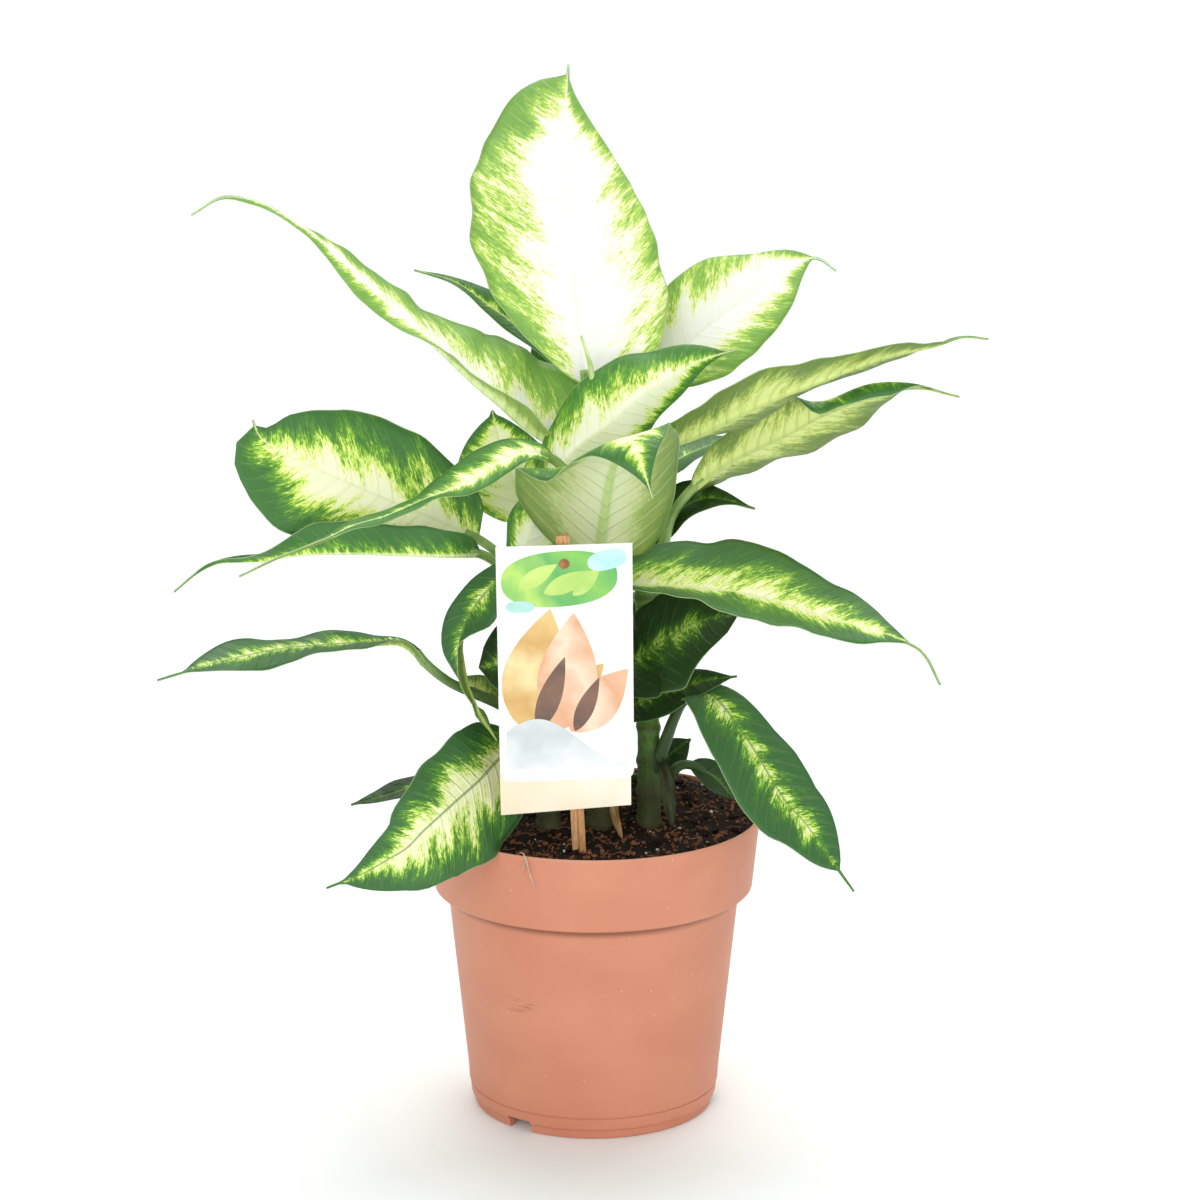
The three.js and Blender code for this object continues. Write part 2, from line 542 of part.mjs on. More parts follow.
    face: [[0, 0.2, -0.8, 0.6], [1, 0.2, -0.8, 0.6]],
    left: [8, 0.5, 0.9], right: [8, 0.5, 0.9],
    bend: [[0, 10, 10, 0, 0], [1, 8, 8, 0, 0]],
    wave: [0.5, 2, 0],
  },
  {
    name: "leaf_back_crown", from: ["centre", 266], grid: [9, 2],
    rib: [[0, 44, 334], [1, 66, 372], [0, 88, 402], [-2, 105, 414], [-4, 117, 413]],
    face: [[0, 0, -0.5, 1], [1, 0, 0, 1]],
    left: [34, 0.42, 1.2], right: [34, 0.42, 1.2],
    bend: [[0, 20, 20, 0, 0], [1, 10, 10, -10, -10]],
    wave: [1.5, 2.5, 0.2],
  },
  {
    name: "leaf_back_left", from: ["back", 206], grid: [8, 2],
    rib: [[-25, 34, 297], [-46, 62, 309], [-72, 90, 308], [-97, 113, 296]],
    face: [[0, 0, 0, 1], [1, 0, 0.1, 1]],
    left: [30, 0.42, 1.2], right: [30, 0.42, 1.2],
    bend: [[0, 20, 20, 0, 0], [1, 10, 10, -10, -10]],
    wave: [1.5, 2.5, 0.5],
  },
  {
    name: "leaf_back_right", from: ["back", 197], grid: [9, 2],
    rib: [[14, 34, 308], [42, 64, 322], [72, 91, 328], [98, 114, 322]],
    face: [[0, 0, 0, 1], [1, 0, 0.1, 1]],
    left: [30, 0.42, 1.2], right: [30, 0.42, 1.2],
    bend: [[0, 20, 20, 0, 0], [1, 10, 10, -10, -10]],
    wave: [1.5, 2.5, 0.1],
  },
  {
    name: "leaf_back_low", from: ["back", 188], grid: [8, 2],
    rib: [[3, 46, 244], [3, 74, 244], [2, 100, 230], [1, 116, 208]],
    face: [[0, 0, 0.1, 1], [1, 0, 0.6, 1]],
    left: [27, 0.42, 1.2], right: [27, 0.42, 1.2],
    bend: [[0, 20, 20, 0, 0], [1, 10, 10, -10, -10]],
    wave: [1.5, 2.5, 0.3],
  },
  {
    name: "leaf_back_low_left", from: ["back", 170], grid: [8, 2],
    rib: [[-17, 44, 222], [-32, 70, 218], [-42, 96, 202], [-50, 114, 178]],
    face: [[0, -0.2, 0.1, 1], [1, -0.2, 0.5, 1]],
    left: [24, 0.42, 1.2], right: [24, 0.42, 1.2],
    bend: [[0, 20, 20, 0, 0], [1, 10, 10, -10, -10]],
    wave: [1.5, 2.5, 0.6],
  },
  {
    name: "leaf_back_low_right", from: ["back", 179], grid: [9, 2],
    rib: [[24, 40, 233], [46, 66, 243], [72, 92, 243], [96, 114, 230]],
    face: [[0, 0, 0.1, 1], [1, 0.2, 0.4, 1]],
    left: [25, 0.42, 1.2], right: [25, 0.42, 1.2],
    bend: [[0, 20, 20, 0, 0], [1, 10, 10, -10, -10]],
    wave: [1.5, 2.5, 0.8],
  },
];

const YOUNG_LEAVES = ["leaf_crown", "leaf_upper_right", "leaf_left_long", "leaf_centre_arch"];
const OLD_LEAVES = ["leaf_right_mid", "leaf_right_below", "leaf_right_low", "leaf_right_droop",
  "leaf_left_droop", "leaf_left_droop_behind", "leaf_far_left", "leaf_hang_left"];

// Half-width of a blade as a share of its widest half-width.
function outline(t, widest, tipFineness, baseRoundness) {
  if (t < widest) return Math.sin((Math.PI / 2) * (t / widest)) ** baseRoundness;
  return Math.sin((Math.PI / 2) * ((1 - t) / (1 - widest))) ** tipFineness;
}

// The blade's middle surface: t from base to tip, side -1 or 1, q from rib to margin.
function bladePoint(leaf, t, side, q, grow) {
  const along = leaf.path.along(t);
  const facing = vector(keyed(leaf.face, t));
  const up = facing.addScaledVector(along, -facing.dot(along)).normalize();
  const across = new THREE.Vector3().crossVectors(along, up);
  const [halfWidth, widest, tipFineness, baseRoundness = 0.6] = side < 0 ? leaf.left : leaf.right;
  const least = mix(BLADE_BASE_HALF, BLADE_TIP_HALF, t);
  const share = Math.min(1, t / (1 - (leaf.drip ?? DRIP_TIP)));
  const width = least + (halfWidth - least) * outline(share, widest, tipFineness, baseRoundness) + grow;
  const [foldLeft, foldRight, curlLeft, curlRight] = keyed(leaf.bend, t);
  const fold = radians(side < 0 ? foldLeft : foldRight);
  const curl = radians(side < 0 ? curlLeft : curlRight) || 1e-6;
  const out = (width * (Math.sin(fold + curl * q) - Math.sin(fold))) / curl;
  const lift = (width * (Math.cos(fold) - Math.cos(fold + curl * q))) / curl;
  const [height, waves, phase] = leaf.wave;
  const ripple = Math.sin(2 * Math.PI * (waves * t + phase + 0.18 * side)) * Math.sin(Math.PI * t);
  return leaf.path
    .at(t)
    .addScaledVector(across, side * out)
    .addScaledVector(up, lift + height * q * q * ripple);
}

function bladeSolid(leaf, grow) {
  const [rows, halfColumns] = leaf.grid;
  const columns = 2 * halfColumns;
  const middle = [];
  for (let i = 0; i <= rows; i += 1) {
    middle.push([]);
    for (let j = 0; j <= columns; j += 1) {
      const q = Math.abs(j - halfColumns) / halfColumns;
      middle[i].push(bladePoint(leaf, i / rows, j < halfColumns ? -1 : 1, q, grow));
    }
  }
  const upper = [];
  const lower = [];
  for (let i = 0; i <= rows; i += 1) {
    for (let j = 0; j <= columns; j += 1) {
      const lengthwise = middle[Math.min(i + 1, rows)][j].clone().sub(middle[Math.max(i - 1, 0)][j]);
      const crosswise = middle[i][Math.min(j + 1, columns)].clone().sub(middle[i][Math.max(j - 1, 0)]);
      const normal = lengthwise.cross(crosswise).normalize();
      const ridge = j === halfColumns ? mix(...RIB_DEPTH, i / rows) : 0;
      const half = BLADE_THICKNESS / 2 + grow;
      upper.push(middle[i][j].clone().addScaledVector(normal, -half).toArray());
      lower.push(middle[i][j].clone().addScaledVector(normal, half + ridge).toArray());
    }
  }
  const stride = columns + 1;
  const below = upper.length;
  const triangles = [];
  for (let i = 0; i < rows; i += 1) {
    for (let j = 0; j < columns; j += 1) {
      const a = i * stride + j;
      const [b, c, d] = [a + 1, a + stride + 1, a + stride];
      triangles.push([a, b, c], [a, c, d]);
      triangles.push([a + below, c + below, b + below], [a + below, d + below, c + below]);
    }
  }
  const border = [];
  for (let j = 0; j < columns; j += 1) border.push(j);
  for (let i = 0; i < rows; i += 1) border.push(i * stride + columns);
  for (let j = columns; j > 0; j -= 1) border.push(rows * stride + j);
  for (let i = rows; i > 0; i -= 1) border.push(i * stride);
  border.forEach((a, k) => {
    const b = border[(k + 1) % border.length];
    triangles.push([a, b + below, b], [a, a + below, b + below]);
  });
  return solidOf(closedGeometry([...upper, ...lower], triangles));
}

// The petiole leaves the cane upwards and meets the blade in line with its rib.
function petioleSolid(leaf, grow) {
  const [caneName, height] = leaf.from;
  const cane = CANES[caneName];
  const root = cane.path.at(caneShare(cane, height));
  const joint = leaf.path.at(0);
  const reach = root.distanceTo(joint);
  const outward = joint.clone().sub(root).setZ(0).normalize().multiplyScalar(PETIOLE_SPREAD);
  const rise = cane.path.along(caneShare(cane, height)).add(outward).multiplyScalar(reach * 0.35).add(root);
  const approach = joint.clone().addScaledVector(leaf.path.along(0), -reach * 0.3);
  const bezier = new THREE.CubicBezierCurve3(root, rise, approach, joint);
  const under = PETIOLE_REACH / leaf.path.length;
  const points = [0, 0.2, 0.4, 0.6, 0.8, 1].map((t) => bezier.getPointAt(t).toArray());
  const path = pathThrough([...points, leaf.path.at(under).toArray()]);
  const radiusAt = (t) => mix(PETIOLE_RADIUS[0], PETIOLE_RADIUS[1], Math.min(1, 1.4 * t)) + grow;
  return tubeSolid(path, radiusAt, PETIOLE_SIDES, PETIOLE_STEPS);
}

function leafSolid(leaf, grow = 0) {
  return bladeSolid(leaf, grow).add(petioleSolid(leaf, grow));
}

function leafMaterial(name) {
  if (YOUNG_LEAVES.includes(name)) return YOUNG_GREEN;
  return OLD_LEAVES.includes(name) ? OLD_GREEN : LEAF_GREEN;
}

// ---------------------------------------------------------------- new leaf, still rolled

const SPIKE_POINTS = [[-1, 0, 330], [-1, -3, 365], [-1, -4, 380], [-3, -3, 388], [-6, 0, 397]];
const SPIKE_RADIUS = [3, 2.6, 1.6, 0.5]; // from the cane's top to the spike's tip

function spikeSolid(grow = 0) {
  const radiusAt = (t) => {
    const place = t * (SPIKE_RADIUS.length - 1);
    const low = Math.min(Math.floor(place), SPIKE_RADIUS.length - 2);
    return mix(SPIKE_RADIUS[low], SPIKE_RADIUS[low + 1], place - low) + grow;
  };
  return tubeSolid(pathThrough(SPIKE_POINTS), radiusAt, 8, 9);
}

// ---------------------------------------------------------------- joining and fitting

function overlaps(a, b) {
  const [boxA, boxB] = [a.boundingBox(), b.boundingBox()];
  const meets = (axis) => boxA.min[axis] < boxB.max[axis] && boxB.min[axis] < boxA.max[axis];
  return [0, 1, 2].every(meets);
}

function largestPart(solid) {
  return solid.decompose().sort((a, b) => b.volume() - a.volume())[0];
}

// Cuts from a solid the room that its neighbours need, and keeps its largest part.
function clearOf(solid, rooms) {
  const near = rooms.filter((room) => overlaps(solid, room));
  return largestPart(near.reduce((rest, room) => rest.subtract(room), solid));
}

const plant = new THREE.Group();
const rooms = [];

for (const [name, cane] of Object.entries(CANES)) {
  const solid = caneSolid(cane);
  plant.add(namedMesh(`cane_${name}`, geometryOf(solid), CANE_GREEN));
  rooms.push(caneSolid(cane, CLEARANCE));
}

const spike = clearOf(spikeSolid(), rooms);
plant.add(namedMesh("leaf_new_rolled", geometryOf(spike), YOUNG_GREEN));
rooms.push(spikeSolid(CLEARANCE));

for (const leaf of LEAVES) leaf.path = pathThrough(leaf.rib);
for (const leaf of LEAVES) {
  const solid = clearOf(leafSolid(leaf), rooms);
  plant.add(namedMesh(leaf.name, geometryOf(solid), leafMaterial(leaf.name)));
  rooms.push(leafSolid(leaf, CLEARANCE));
}

// ---------------------------------------------------------------- label on its stake

const labelFrame = new THREE.Group();
labelFrame.position.set(...LABEL_TOP);
labelFrame.rotation.set(radians(LABEL_LEAN), radians(-LABEL_ROLL), radians(LABEL_YAW), "ZXY");
labelFrame.updateMatrixWorld();

// Shapes are drawn in the label's own plane, x to the right and z up, and face -Y.
function plate(shape, front, thickness) {
  const options = { depth: thickness, bevelEnabled: false, curveSegments: 5 };
  const geometry = new THREE.ExtrudeGeometry(shape, options);
  geometry.rotateX(Math.PI / 2);
  geometry.translate(0, front + thickness, 0);
  return geometry;
}

// A round hole along Y at the peg's height.
function roundHole(radius, offset) {
  const hole = new THREE.CylinderGeometry(radius, radius, 30, 12);
  hole.translate(offset, 0, offset - PEG_DROP);
  return solidOf(hole);
}

function labelCard() {
  const [half, corner] = [LABEL_WIDTH / 2, LABEL_CORNER];
  const shape = new THREE.Shape();
  shape.moveTo(-half, 0);
  shape.lineTo(-half, -LABEL_HEIGHT + corner);
  shape.quadraticCurveTo(-half, -LABEL_HEIGHT, -half + corner, -LABEL_HEIGHT);
  shape.lineTo(half - corner, -LABEL_HEIGHT);
  shape.quadraticCurveTo(half, -LABEL_HEIGHT, half, -LABEL_HEIGHT + corner);
  shape.lineTo(half, 0);
  shape.closePath();
  return solidOf(plate(shape, 0, LABEL_THICKNESS)).subtract(roundHole(PEG_HOLE_RADIUS, PEG_HOLE_OFFSET));
}

const TAG_FRONT = LABEL_THICKNESS + CLEARANCE;
const STAKE_FRONT = TAG_FRONT + TAG_THICKNESS + CLEARANCE;

function tagCard() {
  const left = TAG_OFFSET - TAG_WIDTH / 2;
  const right = TAG_OFFSET + TAG_WIDTH / 2;
  const shape = new THREE.Shape();
  shape.moveTo(left, -TAG_DROP[0]);
  shape.lineTo(right, -TAG_DROP[1]);
  shape.lineTo(right, -TAG_DROP[1] + TAG_HEIGHT);
  shape.lineTo(left, -TAG_DROP[0] + TAG_HEIGHT);
  shape.closePath();
  return solidOf(plate(shape, TAG_FRONT, TAG_THICKNESS));
}

function stakeSolid(grow = 0) {
  const half = STAKE_WIDTH / 2 + grow;
  const front = STAKE_FRONT - grow;
  const back = STAKE_FRONT + STAKE_THICKNESS + grow;
  const bottom = STAKE_ABOVE - STAKE_LENGTH;
  const shape = new THREE.Shape();
  shape.moveTo(-half, front);
  shape.lineTo(-0.5, front);
  shape.lineTo(0, front + 0.7);
  shape.lineTo(0.5, front);
  shape.lineTo(half, front);
  shape.lineTo(half, back);
  shape.lineTo(-half, back);
  shape.closePath();
  const geometry = new THREE.ExtrudeGeometry(shape, { depth: STAKE_LENGTH + grow, bevelEnabled: false });
  geometry.translate(0, 0, bottom - grow);
  geometry.translate(0, 0, PEG_DROP);
  geometry.rotateY(radians(-STAKE_SLANT));
  geometry.translate(0, 0, -PEG_DROP);
  return solidOf(geometry);
}

// The peg is turned about its own axis: a rounded front, a shoulder and a pin.
function pegSolid() {
  const shoulder = STAKE_FRONT - CLEARANCE;
  const profile = [
    [0, -PEG_FRONT],
    [PEG_RADIUS * 0.55, -PEG_FRONT * 0.8],
    [PEG_RADIUS * 0.9, -PEG_FRONT * 0.4],
    [PEG_RADIUS, 0],
    [PEG_RADIUS, shoulder],
    [PEG_PIN_RADIUS, shoulder],
    [PEG_PIN_RADIUS, STAKE_FRONT + STAKE_THICKNESS],
    [0, STAKE_FRONT + STAKE_THICKNESS],
  ];
  const geometry = lathe(profile, 12);
  geometry.rotateX(-Math.PI / 2);
  geometry.translate(0, 0, -PEG_DROP);
  return solidOf(geometry);
}

const stakeHole = roundHole(PEG_PIN_RADIUS + CLEARANCE, 0);

labelFrame.add(
  namedMesh("label_card", geometryOf(labelCard()), CARD_WHITE),
  namedMesh("label_tag", geometryOf(tagCard()), CARD_TAN),
  namedMesh("stake", geometryOf(stakeSolid().subtract(stakeHole)), STAKE_WOOD),
  namedMesh("label_peg", geometryOf(pegSolid()), PEG_WOOD),
);
plant.add(labelFrame);

// ---------------------------------------------------------------- pot and soil

const stakeRoom = stakeSolid(CLEARANCE).transform(labelFrame.matrix.toArray());
const buried = [...Object.values(CANES).map((cane) => caneSolid(cane, CLEARANCE)), stakeRoom];
const soil = largestPart(buried.reduce((solid, room) => solid.subtract(room), soilSolid()));
plant.add(namedMesh("pot", geometryOf(potSolid()), TERRACOTTA));
plant.add(namedMesh("soil", geometryOf(soil), PEAT));

export default plant;
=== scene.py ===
import math
import random

import bmesh
import bpy
import numpy as np
from mathutils import Matrix, Vector, noise


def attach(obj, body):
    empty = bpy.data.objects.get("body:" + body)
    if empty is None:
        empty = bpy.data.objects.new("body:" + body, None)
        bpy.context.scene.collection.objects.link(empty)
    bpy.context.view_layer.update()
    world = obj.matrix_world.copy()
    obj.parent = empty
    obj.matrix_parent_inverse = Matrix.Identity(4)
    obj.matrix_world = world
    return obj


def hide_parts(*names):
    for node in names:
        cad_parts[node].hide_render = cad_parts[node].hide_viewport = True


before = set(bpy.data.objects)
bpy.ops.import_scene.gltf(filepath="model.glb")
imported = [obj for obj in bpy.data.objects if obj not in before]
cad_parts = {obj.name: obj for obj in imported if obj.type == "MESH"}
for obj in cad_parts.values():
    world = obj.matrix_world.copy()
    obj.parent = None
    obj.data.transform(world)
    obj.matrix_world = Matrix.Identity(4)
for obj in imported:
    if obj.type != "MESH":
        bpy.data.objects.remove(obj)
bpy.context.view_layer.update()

MM = 0.001
BODY = "root"
draw = random.Random(11)

# ---------------------------------------------------------------- driving dimensions

POT_HEIGHT = 153.0
POT_RIM_RADIUS = 85.0
POT_WALL = 1.6
POT_COLLAR_FOOT_Z = 114.5
POT_COLLAR_FOOT_RADIUS = 81.0
POT_COLLAR_WALL = 2.0
POT_SHOULDER_Z = POT_COLLAR_FOOT_Z - 4
POT_BODY_TOP_RADIUS = 74.0
POT_BODY_LOW_RADIUS = 64.5
POT_BODY_LOW_Z = 19.0
POT_FOOT_RADIUS = 61.5
POT_FOOT_WIDTH = 4.0
POT_FLOOR_Z = 7.0
POT_FLOOR_THICKNESS = 2.0
POT_SEGMENTS = 160
NOTCH_WIDTH = 14.0
NOTCH_HEIGHT = 6.5
NOTCH_AZIMUTHS = (-37, 83, 203)
DRAIN_COUNT = 6
DRAIN_RADIUS = 4.5
DRAIN_CIRCLE = 40.0
DRAIN_SEGMENTS = 28
DRAIN_CUT_DEPTH = 20

SOIL_CLEARANCE = 0.3
SOIL_FRONT_Z = 149.0
SOIL_RADIUS = POT_COLLAR_FOOT_RADIUS + 0.9 * (POT_RIM_RADIUS - POT_COLLAR_FOOT_RADIUS) - POT_WALL - 0.9
SOIL_HEAP = 7.0
SOIL_RINGS = 62
SOIL_SEGMENTS = 200
FIBRE_COUNT = 90
FIBRE_POINTS = 4
FIBRE_LENGTH = (3, 9)
FIBRE_RADIUS = (0.14, 0.34)
STRAND_TAPER = 0.75

CANE_SIDES = 32
CANE_STEPS = 10
CANE_RIPPLE = 0.12
CANE_WAIST = 0.25
NODE_SPACING = 17.0
NODE_SWELL = 0.7
NODE_WIDTH = 0.11
NODE_SLANT = 0.05
CANES = {
    "centre": dict(
        points=[[3, -20, 118], [2, -14, 180], [0, -5, 240], [-2, 3, 290], [-2, 6, 332]],
        radius=[7, 4.6],
    ),
    "left": dict(
        points=[[-22, -21, 118], [-23, -18, 170], [-25, -13, 220], [-27, -8, 266]],
        radius=[6.6, 4.6],
    ),
    "right": dict(
        points=[[28, -14, 118], [28, -12, 170], [27, -7, 230], [25, -2, 282]],
        radius=[6.8, 4.6],
    ),
    "back": dict(points=[[4, 26, 118], [3, 29, 170], [2, 30, 214]], radius=[6, 4.6]),
}
SPIKE_POINTS = [[-1, 0, 330], [-1, -3, 365], [-1, -4, 380], [-3, -3, 388], [-6, 0, 397]]
SPIKE_RADIUS = [3, 2.6, 1.6, 0.5]
SPIKE_TWIST = 2.4
SPIKE_INNER = 0.9
SPIKE_OVERLAP = 0.18
SPIKE_SIDES = 28
SPIKE_STEPS = 40

BLADE_HALF = 0.42
BLADE_BASE_HALF = 2.6
BLADE_TIP_HALF = 0.5
RIB_DEPTH = (2.4, 0.4)
RIB_HALF = (3.4, 0.9)
RIB_GROOVE = 0.35
MARGIN_THINNING = 0.6
USUAL_ROUNDNESS = 0.6
BLADE_STATION = 3.2
BLADE_LEAST_ROWS = 18
BLADE_COLUMNS = 8
BROAD_BLADE_COLUMNS = 11
BROAD_LEAF = 40
COLUMN_SPREAD = 1.35
VEIN_SLANT = 0.5
VEIN_SWEEP = 0.28
DRIP_TIP = 0.04
CRIMP_WIDTH = 0.035
CRIMP_HEIGHT = 1.3
CRIMP_LENGTH = 17
CRIMP_SWING = 1.6
RUFFLE_LENGTH = 13
RUFFLE_FULL_HALF = 25
WAVE_OFFSET = 0.18
RIB_TINT_HALF = (1.4, 0.5)
PALE_FIELD_CLOSES = 0.66
PALE_FIELD_CLOSES_OVER = 0.34
PALE_FIELD_TIP = -0.06
PETIOLE_RADIUS = (4.2, 2.5)
PETIOLE_SPREAD = 0.6
PETIOLE_REACH = 7.0
PETIOLE_RISE = 0.35
PETIOLE_APPROACH = 0.3
PETIOLE_GROOVE = 0.16
PETIOLE_SHEATHED = (0.35, 0.6)
PETIOLE_SHARES = (0, 0.2, 0.4, 0.6, 0.8, 1)
PETIOLE_SIDES = 20
PETIOLE_STEPS = 26

LABEL_TOP = (-13.9, -75.5, 307.6)
LABEL_LEAN = 5.5
LABEL_YAW = 4.0
LABEL_ROLL = 1.0

CAMERA_PLACE = (3.3, -1656.43, 645.70)
CAMERA_DOWN = 13.0
CAMERA_LENS = 101.66
CAMERA_SENSOR = 36.0

# One row for each leaf, as in the part's source. root: the cane and the petiole's height on it.
# rib: points along the midrib, from base to tip. face: rows of [t, x, y, z], the way that the
# upper side faces. left and right: [half-width, where it is widest, how fine the tip is, how
# round the base is], with right like left where it isn't given. bend: rows of [t, fold left,
# fold right, curl left, curl right]. wave: [height, waves, phase]. age, upper and under: the
# looks it wears. pale: how far the pale field reaches from the rib, as a share of the
# half-width, left and right, and for some the share of the length where it starts to close.
# drip: the share of the length that the drip tip takes, where it isn't DRIP_TIP.
USUAL_PALE = [0.3, 0.3]
HIDDEN_BEND = [[0, 10, 10, 0, 0], [1, 8, 8, 0, 0]]
LOW_BEND = [[0, 15, 15, 0, 0], [1, 8, 8, -10, -10]]
BACK_BEND = [[0, 20, 20, 0, 0], [1, 10, 10, -10, -10]]


def back_leaf(height, rib, face, half, phase, cane="back", pale=USUAL_PALE):
    """A leaf at the back of the plant. All of those share one outline and bend."""
    return dict(
        root=[cane, height], rib=rib, face=face, left=[half, 0.42, 1.2], bend=BACK_BEND,
        wave=[1.5, 2.5, phase], pale=pale,
    )


